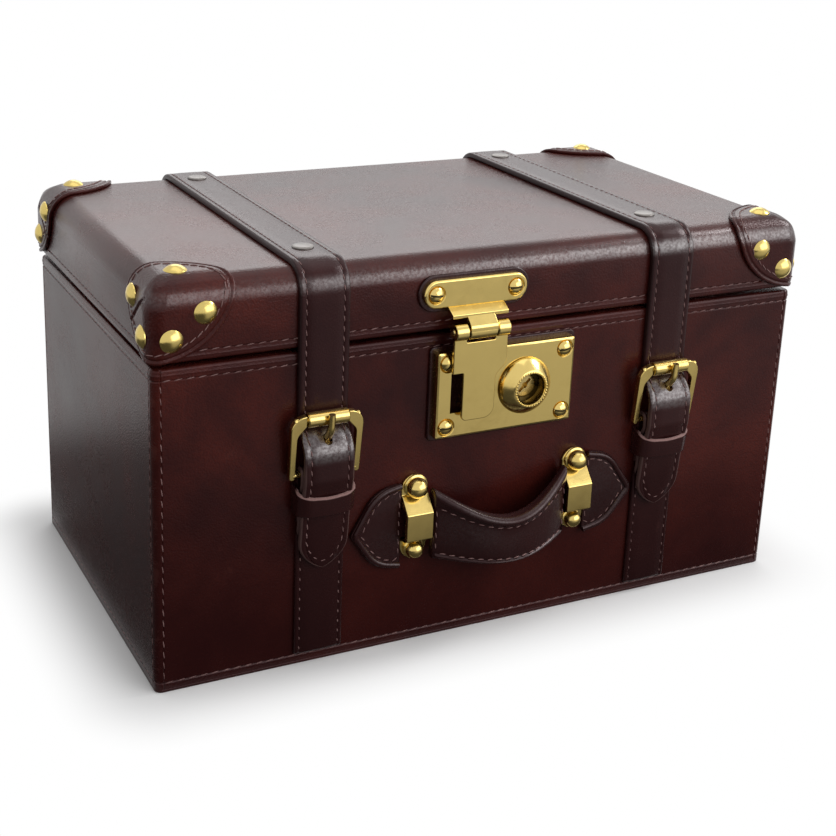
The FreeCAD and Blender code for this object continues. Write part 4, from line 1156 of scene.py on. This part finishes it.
loop = keeper_loop("loop", 0, KEEPER_LOW, KEEPER_TOP - KEEPER_LOW)
trim(loop, keeper_loop("keeper_room", KEEPER_THICK, 68, 20))
choose(loop, "VERT", lambda vert: vert.co.z > 80 * MM)
wall = mm(0, FRONT, KEEPER_TOP)
bpy.ops.transform.rotate(value=-KEEPER_DIP, orient_axis="X", center_override=wall)
choose(loop, "VERT", lambda vert: vert.co.z > 76 * MM and vert.co.y < (FRONT - 3.5) * MM)
bpy.ops.transform.translate(value=mm(0, -KEEPER_LEAN, 0))
soften(loop, 0.4, 3, 50)
for name, x in STRAPS.items():
    keeper = copy_of(loop, at(x, 0, 0), f"keeper_{name}_loop")
    dress(keeper, "case", KEEPER_LEATHER, "strap_leather", f"keeper_{name}")
print("keeper:", len(loop.data.polygons), "faces")
scrap(loop)

# %% [markdown]
# ## Roller buckles
# The frame is cast brass: two bent sides, a bar that the base strap folds round, and a rod that
# carries a loose roller. The roller is a rolled tube, so it shows a seam. The prong turns on the
# bar, passes through the strap and rests on the roller. The frame is made upright, then leaned
# out about its bar.

# %% Buckles
BAR_OFF, BAR_HEIGHT, BUCKLE_LONG, BUCKLE_END = 3.5, 88.0, 24.15, 2.2
SIDE_INNER, SIDE_OUTER, ROD_LENGTH = 12.8, 15.75, 28.3
BUCKLE_TILT = Matrix.Rotation(math.radians(6.42), 4, "X")


def buckle_frame():
    sides = []
    for i in (-1, 1):
        corners = [
            (9.05 * i, BUCKLE_LONG + BUCKLE_END),
            (SIDE_OUTER * i, BUCKLE_LONG + BUCKLE_END, 6.2),
            ((SIDE_OUTER - 0.45) * i, -1.75, 1.2),
            (SIDE_INNER * i, -1.75, 1.2),
            (SIDE_INNER * i, BUCKLE_LONG - 6.5, 4),
            (9.05 * i, BUCKLE_LONG - BUCKLE_END),
        ]
        sides.append(soften(plate("side", corners, "XZ", -1.4, 2.8), 0.75, 4))
    for height, radius in ((0, 1.5), (BUCKLE_LONG, 1.4)):
        rod = turned("rod", rod_profile(radius, ROD_LENGTH), 24)
        sides.append(moved(rod, at(0, 0, height, "right")))
    return joined("cast", sides)


def buckle_roller():
    piece = turned("tube", rod_profile(3.1, 17.5, 0.35, 1.5), 36)
    trim(piece, block("seam", (-0.14, -3.35, -10), (0.14, -2.7, 10)))
    turn = Matrix.Rotation(math.radians(-60), 4, "X")
    return smooth(moved(piece, turn @ FACING["right"]))


def buckle_prong():
    hub = turned("hub", rod_profile(2.45, 4.4, 0.5, 1.56), 28)
    moved(hub, at(0, -BAR_OFF, BAR_HEIGHT, "right"))
    bends = [(-4.0, 89.8), (-5.7, 102.4, 9), (-10.45, 108.3, 6), (-11.1, 115.0)]
    line = divided(rounded(bends, fineness=9), 1.2)
    spike = round_rod("spike", [(0, p.x, p.y) for p in line], 1.65, ends=0.86)
    return joined("pin", [hub, spike])


cast = moved(buckle_frame(), at(0, FRONT - BAR_OFF, BAR_HEIGHT) @ BUCKLE_TILT)
tube = moved(buckle_roller(), at(0, FRONT - 6.2, 112))
pin = moved(buckle_prong(), at(0, FRONT, 0))
for name, x in STRAPS.items():
    for master, body, node in (
        (cast, "buckle", "frame"),
        (tube, "roller", "roller"),
        (pin, "prong", "prong"),
    ):
        piece = copy_of(master, at(x, 0, 0), f"buckle_{name}_{master.name}")
        dress(piece, f"{body}_{name}", BRASS, "brass", f"buckle_{name}_{node}")
print("buckle:", len(cast.data.polygons), "faces")
scrap(cast, tube, pin)

# %% [markdown]
# ## The lock
# The lock is a shallow brass pan on a leather pad, with a window for the hasp's staple and a
# slot that its round boss slides in. Its screws are slotted domes in countersunk seats, and a
# dark filler in each slot stands for dirt and painted shade. The boss is turned and has a beaded
# ring round its mouth, which is darkened with painted shade. A plug with a key slot sits deep
# in it.

# %% Lock plate
LOCK_HEIGHT, LOCK_FACE = 113.0, FRONT - 5.0


def pad(part, body, outline, fineness=7):
    """The leather that a fitting is screwed down on."""
    face = FRONT - LEATHER_THICK
    piece = plate(f"{part}_pad_leather", outline, "XZ", face, LEATHER_THICK, fineness)
    dress(soften(piece, 0.6), body, HANDLE_LEATHER, "leather", f"{part}_pad")


pad("lock", "case", oblong(69.6, 41.6, 2.5, 0, LOCK_HEIGHT))
pan = plate("lock_pan", oblong(66, 38, 1.2, 0, LOCK_HEIGHT), "XZ", LOCK_FACE, 3.5)
bevel(pan, both_ends(lambda vert: near(vert.co.y, LOCK_FACE)), 1.1, 2)
trim(pan, block("pan_room", (-31.8, FRONT - 3.8, 95.2), (31.8, FRONT - 1, 130.8)))
window = [(-26.5, 105), (-10.5, 105), (-10.5, 140), (-20.5, 140), (-20.5, 122.5), (-26.5, 122.5)]
slide = [(1.9, 106.2, 6), (20.5, 106.2, 6), (20.5, 119.8, 6), (1.9, 119.8, 6)]
for name, outline in (("window", window), ("slide", slide)):
    trim(pan, plate(name, outline, "XZ", FRONT - 7, 6))

# %% Screws
SCREW_RADIUS, SCREW_RISE, SLOT_HALF = 3.25, 1.65, 0.42
HASP_X, HASP_HEIGHT, HASP_FACE = -15.5, 156.6, FRONT - 3.5
LOCK_SCREWS = [(-28, 99, 5), (28, 99, -4), (-28, 127, 62), (28, 127, 9)]
HASP_SCREWS = [(-34, HASP_HEIGHT, -5), (3, HASP_HEIGHT, 4)]

seat = turned("seat", [(0, 1), (4.1, 1), (4.1, 0.05), (3.15, -0.85), (0, -0.85)])
screw = turned("screw", dome(SCREW_RADIUS, SCREW_RISE, 1.0))
trim(screw, block("slot", (-6, -SLOT_HALF, 0.05), (6, SLOT_HALF, 4)))
soften(screw, 0.08, 1, 55)
# The dark filler in each slot, for dirt and painted shade.
dirt = turned("dirt", dome(SCREW_RADIUS - 0.2, SCREW_RISE - 0.25, 0.1))
trim(dirt, block("slot_room", (-6, -SLOT_HALF, -1), (6, SLOT_HALF, 4)), "INTERSECT")


def screwed_down(name, carrier, face, spots, body):
    """Sink a seat for each screw into a plate, and set the screws in."""
    for x, z, _ in spots:
        trim(carrier, placed(seat, x, face, z, "front"))
    heads, slots = (
        joined(f"{name}_screw_{title}", [placed(one, x, face, z, "front", s) for x, z, s in spots])
        for one, title in ((screw, "heads"), (dirt, "slots"))
    )
    dress(heads, body, BRASS, "brass", f"{name}_screws")
    dress(slots, body, DIRT_AND_SHADE, "brass")


screwed_down("lock", pan, LOCK_FACE, LOCK_SCREWS, "case")
dress(crisp(pan, 33), "case", BRASS, "brass", "lock_plate")
print("lock pan:", len(pan.data.polygons), "faces")

# %% Boss and plug
BOSS_X, BEADS, BEAD_RING = 8.7, 38, 7.4


def mouth_of_boss(finish):
    """The deep hole in the boss, darkened with painted shade."""
    across, rise = finish.axis("X") - BOSS_X * MM, finish.axis("Z") - LOCK_HEIGHT * MM
    return ((across * across + rise * rise) ** 0.5).ramp(0.0068, 0.0064)


# Painted shade inside the boss's mouth.
MOUTH_SHADE = [(mouth_of_boss, (0.11, 0.08, 0.03, 1))]
BOSS_BRASS = brass("boss_brass", BRIGHT, DULL, 0.13, MOUTH_SHADE)
boss_place = at(BOSS_X, LOCK_FACE, LOCK_HEIGHT, "front")

neck = [(5.3, -3.1), (6.5, -3.1), (6.5, 0.3), (12.3, 0.3), (12.5, 0.5), (12.4, 1.0)]
bell = [(12.0, 1.7), (11.4, 2.5), (10.6, 3.4), (9.8, 4.25), (9.0, 5.05), (8.4, 5.6), (7.9, 5.95)]
mouth = [(7.4, 6.1), (7.0, 6.0), (6.6, 5.4), (6.3, 0.0), (5.3, 0.0), (5.3, -3.1)]
boss = turned("boss", neck + bell + mouth, 64)
bpy.ops.mesh.primitive_uv_sphere_add(segments=7, ring_count=5, radius=0.52 * MM)
bead = smooth(added("bead"), 180)
angles = [math.tau * number / BEADS for number in range(BEADS)]
spots = [(BEAD_RING * math.cos(a), BEAD_RING * math.sin(a), 6.05) for a in angles]
boss = joined("lock_boss_knob", [boss] + [copy_of(bead, at(*spot)) for spot in spots])
scrap(bead)
dress(moved(boss, boss_place), "lock_boss", BOSS_BRASS, "brass", "lock_boss")

plug_profile = [(0, 0.4), (4.4, 0.4), (5.0, 0.2), (5.22, -0.2), (5.22, -3.1), (0, -3.1)]
plug = turned("lock_plug_face", plug_profile)
key_slot = block("key_slot", (-3.7, -0.65, -2.2), (3.7, 0.65, 6))
trim(plug, moved(key_slot, Matrix.Rotation(math.radians(45), 4, "Z")))
trim(plug, turned("key_eye", [(0, 6), (1.35, 6), (1.35, -2.2), (0, -2.2)], 20))
soften(plug, 0.12, 2, 55)
dress(moved(plug, boss_place), "lock_plug", OLD_BRASS, "brass", "lock_plug")
print("boss:", len(boss.data.polygons), "faces; plug:", len(plug.data.polygons), "faces")

# %% [markdown]
# ## The hasp
# A rounded plate is screwed to the lid. Below it a sloping ledge reaches out, and a web bulges
# from there to the middle knuckle of a hinge. The leaf hangs from the two outer knuckles and is
# notched for the middle one. Its stepped tongue covers the lock's window, where its staple drops
# in.

# %% Hasp plate
PIN_OFF, PIN_HEIGHT = 8.0, 141.5

pad("hasp", "lid", oblong(51.6, 15.6, 7.75, HASP_X, HASP_HEIGHT), 12)
stadium_outline = oblong(48, 12, 5.98, HASP_X, HASP_HEIGHT)
stadium = plate("stadium", stadium_outline, "XZ", HASP_FACE, 2.0, 12)
screwed_down("hasp", stadium, HASP_FACE, HASP_SCREWS, "lid")
scrap(seat, screw, dirt)


def on_rim(vert):
    """Whether a point is on the plate's front outline, and not on a screw's seat."""
    gaps = [(vert.co - mm(x, HASP_FACE, z)).length for x, z, _ in HASP_SCREWS]
    return near(vert.co.y, HASP_FACE) and min(gaps) > 5 * MM


def at_pin(x):
    return at(HASP_X + x, FRONT - PIN_OFF, PIN_HEIGHT, "right")


def knuckle(x, length):
    return moved(turned("knuckle", rod_profile(3.6, length, 0.3, 1.3), 36), at_pin(x))


bevel(stadium, both_ends(on_rim), 0.9, 3)
crisp(stadium, 35)
ledge_outline = [off(1.5, 151.0), off(3.4, 151.0, 0.6), off(7.7, 148.6, 0.5)]
ledge_outline += [off(7.7, 146.8, 0.4), off(1.5, 149.2)]
ledge = soften(plate("ledge", ledge_outline, "YZ", HASP_X - 13, 26), 0.25, 2)
web_outline = [off(7.2, PIN_HEIGHT), off(11.55, PIN_HEIGHT), off(11.55, 144.2, 2.5)]
web_outline += [off(7.6, 147.9), off(7.0, 147.9)]
web = soften(plate("web", web_outline, "YZ", HASP_X - 6.3, 12.6), 0.2, 2)
hasp = joined("hasp_plate_cast", [stadium, ledge, web, knuckle(0, 12.5)])
dress(hasp, "lid", BRASS, "brass", "hasp_plate")

pin = moved(turned("hasp_pin_rod", rod_profile(1.25, 26, 0.35), 24), at_pin(0))
dress(pin, "lid", OLD_BRASS, "brass", "hasp_pin")

# %% Hasp leaf
LEAF_OFF, LEAF_THICK, ARM_X, ARM_HALF = 9.1, 1.8, 9.7, 2.8

left_side = [(-12.5, 139.4), (-12.5, 123.6, 0.6), (-7.6, 123.6, 0.6), (-7.6, 102.6, 2.2)]
right_side = [(7.6, 102.6, 5), (7.6, 121.2, 4), (12.5, 126, 2), (12.5, 139.4)]
notch = [(6.7, 139.4), (6.7, 136.9, 0.5), (-6.7, 136.9, 0.5), (-6.7, 139.4)]
leaf_outline = [(HASP_X + a, *rest) for a, *rest in left_side + right_side + notch]
tongue = plate("tongue", leaf_outline, "XZ", FRONT - LEAF_OFF, LEAF_THICK)
leaf_pieces = [soften(tongue, 0.4, 3)]
staple = block("staple", (HASP_X - 4, FRONT - 7.4, 109), (HASP_X + 4, FRONT - 2.3, 117))
leaf_pieces.append(soften(staple, 0.8, 3))
low = (HASP_X - ARM_X - ARM_HALF, FRONT - LEAF_OFF, 139)
high = (HASP_X - ARM_X + ARM_HALF, FRONT - LEAF_OFF + LEAF_THICK, 141.6)
arm, barrel = soften(block("arm", low, high), 0.15, 2), knuckle(-ARM_X, 2 * ARM_HALF)
across = at(2 * ARM_X, 0, 0)
leaf_pieces += [arm, barrel, copy_of(arm, across), copy_of(barrel, across)]
leaf = joined("hasp_leaf_plate", leaf_pieces)
dress(leaf, "hasp", BRASS, "brass", "hasp_leaf")
print("hasp plate:", len(hasp.data.polygons), "faces; leaf:", len(leaf.data.polygons), "faces")

# %% [markdown]
# ## The handle
# The handle's leather runs through two brass loops. Outside them it ends in sewn tabs with a
# raised rim, the right one a little longer. Between them it is a padded grip that arches out and
# hangs a little, with a thick roll along its upper edge and a thin one along its lower edge. The
# grip is one section extruded from station to station, with a larger or smaller size at each,
# and a subdivision rounds it.

# %% Brackets and studs
HANDLE_HEIGHT, BRACKET_X, BRACKET_WIDTH, FLANGE = 57.0, 39.4, 12.3, 1.4
SIDES = (("left", -1), ("right", 1))

outside = [(0.0, -16.7), (FLANGE, -16.7), (FLANGE, -8.2), (8.0, -6.3, 0.8), (8.0, 5.8, 0.8)]
outside += [(2.6, 12.1), (FLANGE, 12.5), (FLANGE, 21.3), (0.0, 21.3)]
inside = [(0.0, 7.6), (5.6, 6.8), (5.6, -6.8), (0.0, -6.8)]
bracket_outline = [off(a, HANDLE_HEIGHT + b, *r) for a, b, *r in outside + inside]


def ball_stud(radius, rise):
    """A ball on a thin flange."""
    crown = cap_of_ball(radius * 0.88, rise, math.radians(115), 12)
    foot = [(crown[-1][0], 1.1), (radius - 0.4, 0.9), (radius, 0.6), (radius, -0.2), (0, -0.2)]
    return turned("ball", crown + foot, 36)


bracket = plate("cast", bracket_outline, "YZ", -BRACKET_WIDTH / 2, BRACKET_WIDTH)
rounding = oblong(12.4, 38.1, 6.15, 0, HANDLE_HEIGHT + 2.3)
trim(bracket, plate("round_ends", rounding, "XZ", FRONT - 20, 25, 12), "INTERSECT")
soften(bracket, 0.45, 3)
big, small = ball_stud(5.2, 6.6), ball_stud(4.5, 5.6)
heads = []
for name, i in SIDES:
    x = BRACKET_X * i
    cast = copy_of(bracket, at(x, 0, 0), f"handle_bracket_{name}_cast")
    dress(cast, "case", BRASS, "brass", f"handle_bracket_{name}")
    for ball, height in ((big, 16.1), (small, -12.4)):
        heads.append(placed(ball, x, FRONT - FLANGE, HANDLE_HEIGHT + height, "front"))
dress(joined("handle_stud_balls", heads), "case", BRASS, "brass", "handle_studs")
print("bracket:", len(bracket.data.polygons), "faces")
scrap(bracket, big, small)

# %% Tabs
TAB_TIPS = {"left": 69.0, "right": 71.0}
TAB_ROOT, TAB_THICK, NECK_START, NECK_HALF = 45.6, 1.9, 32.9, 6.5
RIM_INSET, RIM_RADIUS, TAB_SEAM = 1.5, 1.45, 3.6
AHEAD = Vector((0, -1, 0))


def tab_line(tip, inset):
    """A tab's outline, as on the right side, moved in from its edge."""
    root, shoulder = TAB_ROOT + inset * 0.3, 58.2 - inset * 0.55
    upper = [(root, 18.6 - inset, 2.5), (shoulder, 16.2 - inset, 15)]
    lower = [(shoulder, inset - 18.4, 15), (root, inset - 20.6, 2.5)]
    return upper + [(tip - inset * 1.35, -2.2, 2.4)] + lower


for name, i in SIDES:
    tip = TAB_TIPS[name]
    neck = [(NECK_START, -NECK_HALF), (TAB_ROOT, -NECK_HALF)]
    corners = neck + tab_line(tip, 0)[::-1] + [(a, -b) for a, b in neck[::-1]]
    outline = [(a * i, HANDLE_HEIGHT + b, *r) for a, b, *r in corners]
    sheet = soften(plate("sheet", outline, "XZ", FRONT - TAB_THICK, TAB_THICK, 9), 0.5, 3)
    rim = divided(rounded(tab_line(tip, RIM_INSET), fineness=9), 2)
    rim = [(p.x * i, FRONT - 1.7, HANDLE_HEIGHT + p.y) for p in rim]
    tab = joined(f"handle_tab_{name}_leather", [sheet, round_rod("rim", rim, RIM_RADIUS, sides=4)])
    dress(tab, "case", HANDLE_LEATHER, "leather", f"handle_tab_{name}")
    sewn = tab_line(tip, TAB_SEAM)
    seam = divided(rounded(sewn + sewn[:1], fineness=9), 1.5)
    spots = [(Vector((p.x * i, FRONT - 1.95, HANDLE_HEIGHT + p.y)), AHEAD) for p in seam]
    thread = sew(f"handle_tab_{name}_thread", stitch_row(spots, FINE_PITCH), FINE_SHARE)
    dress(thread, "case", THREAD, "leather")
    print("tab:", len(tab.data.polygons), "faces")

# %% Grip
GRIP_HALF, GRIP_STEPS = 32.4, 32


def grip_at(x):
    """The grip at a place across: how tall, how thick, how far out, and its middle's height."""
    share = math.cos(math.pi / 2 * min(1.0, abs(x) / GRIP_HALF))
    high = HANDLE_HEIGHT - 0.65 - 7.55 * share
    return 32.3 - 10.7 * share, 6 + 2.5 * share, 4.6 + 11.4 * share, high


def on_grip(x, a, b):
    """A point of the grip: a of its thickness out and b of its height up, from its middle."""
    tall, thick, out, high = grip_at(x)
    return Vector((x, FRONT - out - a * thick, high + b * tall))


def grip_section():
    """Out and up, as shares of the grip's size: a thick roll, a panel and a thin roll."""
    turn = [math.radians(-52 + 284 * part / 12) for part in range(13)]
    upper = [(0.5 * math.cos(a), 0.385 + 0.115 * math.sin(a)) for a in turn]
    behind = [(-0.27, 0.24), (-0.3, -0.06), (-0.27, -0.4)]
    lower = [(-0.36 * math.cos(a), -0.455 - 0.045 * math.sin(a)) for a in turn]
    return upper + behind + lower + [(-a, b) for a, b in reversed(behind)]


stations = [GRIP_HALF * (2 * part / GRIP_STEPS - 1) for part in range(GRIP_STEPS + 1)]
grip = filled("handle_grip_padded", [on_grip(stations[0], a, b) * MM for a, b in grip_section()])
for x0, x1 in zip(stations, stations[1:]):
    before, after = grip_at(x0), grip_at(x1)
    middle = on_grip(x1, 0, 0) * MM
    extrude(middle - on_grip(x0, 0, 0) * MM)
    growth = (1, after[1] / before[1], after[0] / before[0])
    bpy.ops.transform.resize(value=growth, center_override=middle)
bevel_hard(outward(grip), 0.6, 2, 70)
apply(grip, "SUBSURF", levels=1, render_levels=1)
dress(smooth(grip, 60), "handle_grip", HANDLE_LEATHER, "leather", "handle_grip")

rows = []
for rise in (-0.4, 0.265):
    rows += stitch_row([(on_grip(x, 0.285, rise), AHEAD) for x in stations[1:-1]], FINE_PITCH)
for x in (1 - GRIP_HALF, GRIP_HALF - 1):
    rows += straight_row(on_grip(x, 0.3, -0.38), on_grip(x, 0.3, 0.24), AHEAD)
dress(sew("handle_grip_thread", rows, FINE_SHARE), "handle_grip", THREAD, "leather")
print("grip:", len(grip.data.polygons), "faces")

# %% [markdown]
# ## Seams of the box
# Waxed thread runs in the pressed grooves of the case and the lid. All stitches of one seam are
# copies of the one stitch, joined into one piece of thread that moves with its leather.

# %% Case and lid thread
THREAD_SINK = 0.22
LID_SEAM_X, LID_SEAM_Y = 139, 73
case_rows, lid_rows = [], []
for way in (-1, 1):
    y, out = (BACK - THREAD_SINK) * way, (0, way, 0)
    for z in (SEAM_TOP, SEAM_LOW):
        case_rows += straight_row((-SEAM_SIDE, y, z), (SEAM_SIDE, y, z), out)
    for x in (-SEAM_SIDE, SEAM_SIDE):
        case_rows += straight_row((x, y, SEAM_LOW + 1), (x, y, SEAM_TOP - 1), out)
    lid_rows += straight_row((-LID_SEAM_X, y, SEAM_LID), (LID_SEAM_X, y, SEAM_LID), out)

    x, out = (HALF_WIDTH - THREAD_SINK) * way, (way, 0, 0)
    for z in (SEAM_TOP, SEAM_LOW):
        case_rows += straight_row((x, -SEAM_FLANK, z), (x, SEAM_FLANK, z), out)
    for y in (-SEAM_FLANK, SEAM_FLANK):
        case_rows += straight_row((x, y, SEAM_LOW + 1), (x, y, SEAM_TOP - 1), out)
    lid_rows += straight_row((x, -LID_SEAM_Y, SEAM_LID), (x, LID_SEAM_Y, SEAM_LID), out)
for body, rows in (("case", case_rows), ("lid", lid_rows)):
    dress(sew(f"{body}_thread", rows), body, THREAD, "leather")
    print(body, "thread:", len(rows), "stitches")
scrap(STITCH)

# %% [markdown]
# ## The studio
# The trunk stands on a pale floor under soft light. Glossy leather and brass look like what is
# around them, so the room matters more than the lamps: a softbox behind gives the lid its grey
# sheen, a dim one above fills in, a small bright window on the right models the front and the
# brass, and a wide, dim window in front shows in the rubbed edges. Two cards on the floor, which
# only mirrors see, give the brass its dark side. Close to the trunk the floor is a real surface
# that takes its shadow. Farther out it fades to plain white.

# %% Floor and backdrop
AIR_LIGHT, WHITE = 0.5, (1, 1, 1, 1)
FLOOR_GREY, FLOOR_WHITE = (0.3, 0.3, 0.3, 1), (0.9, 0.9, 0.9, 1)
SHADOW_X, SHADOW_Y, SHADOW_FADE = 0.15, 0.083, 0.045


def seen_rays(wire):
    """1 for rays from the camera, from mirrors and through glass, else 0."""
    paths = [wire.node("LightPath", {}, {}, output=index) for index in (0, 3, 6)]
    return wire.math("MAXIMUM", wire.math("MAXIMUM", paths[0], paths[1]), paths[2])


floor_finish = Finish("pale_floor", Roughness=0.9, Specular_IOR_Level=0.0)
tree, place = floor_finish.tree, floor_finish.place
seen = seen_rays(place)
floor_finish.set(Base_Color=seen.blend(FLOOR_GREY, FLOOR_WHITE))
beyond = [
    place.math("MAXIMUM", abs(floor_finish.axis(letter)) - half, 0.0)
    for letter, half in (("X", SHADOW_X), ("Y", SHADOW_Y))
]
away = (beyond[0] * beyond[0] + beyond[1] * beyond[1]) ** 0.5
white = place.node("Emission", {}, {"Color": WHITE, "Strength": 1.0})
surface = Wire(tree, floor_finish.shader.outputs[0])
share = away.ramp(0.0, SHADOW_FADE) * seen
mixed = place.node("MixShader", {}, {0: share, 1: surface, 2: white})
feed(tree.nodes["Material Output"].inputs["Surface"], mixed)
bpy.ops.mesh.primitive_plane_add(size=40)
floor = added("floor")
floor.data.materials.append(floor_finish.material)

world = bpy.data.worlds.new("studio_air")
bpy.context.scene.world = world
world.use_nodes = True
air = world.node_tree.nodes["Background"]
feed(air.inputs["Color"], WHITE)
feed(air.inputs["Strength"], AIR_LIGHT + seen_rays(Wire(world.node_tree)) * (1 - AIR_LIGHT))


# %% Lamps and cards
def softbox(name, place, aim, width, tall, radiance):
    """A rectangular lamp of an even brightness, aimed at a point."""
    bpy.ops.object.light_add(type="AREA", location=Vector(place))
    lamp = added(name)
    lamp.data.shape = "RECTANGLE"
    lamp.data.size, lamp.data.size_y = width, tall
    lamp.data.energy = radiance * math.pi * width * tall
    lamp.rotation_euler = (Vector(aim) - Vector(place)).to_track_quat("-Z", "Y").to_euler()
    lamp.visible_camera = False


softbox("softbox_above", (0.1, 0.1, 1.5), (0, 0, 0.1), 1.3, 0.9, 0.7)
softbox("softbox_back", (0.8, 1.5, 1.15), (0, 0, 0.17), 1.6, 0.7, 2.15)
softbox("window_right", (1.17, -0.18, 1.05), (0, -0.05, 0.15), 0.35, 0.45, 13.0)
softbox("window_front", (0.99, -1.40, 0.76), (0, -0.08, 0.16), 2.2, 1.2, 2.25)


def floor_card(name, low, high, dark, pale, shade):
    """A card on the floor that only mirrors see, dark in places and pale in others."""
    finish = Finish(name, Roughness=0.9, Specular_IOR_Level=0.0)
    tone = shade(finish.axis("X"), finish.axis("Y"))
    finish.set(Base_Color=tone.blend((dark, dark, dark, 1), (pale, pale, pale, 1)))
    bpy.ops.mesh.primitive_plane_add(size=1)
    card = added(name)
    card.location = ((low[0] + high[0]) / 2, (low[1] + high[1]) / 2, 0.0006)
    card.scale = (high[0] - low[0], high[1] - low[1], 1)
    settle(card)
    card.data.materials.append(finish.material)
    card.visible_camera = card.visible_diffuse = card.visible_shadow = False


def pale_right_of_the_lens(x, y):
    return x.ramp(-0.17, -0.04) * y.ramp(-0.14, -0.27)


def pale_behind(_, y):
    return y.ramp(0.15, 0.24)


floor_card("card_front", (-0.7, -1.0), (0.9, -0.089), 0.1, 0.5, pale_right_of_the_lens)
floor_card("card_left", (-0.6, -0.089), (-0.156, 0.6), 0.15, 0.76, pale_behind)
bpy.context.scene.view_settings.view_transform = "Standard"
print("lamps:", len(bpy.data.lights))
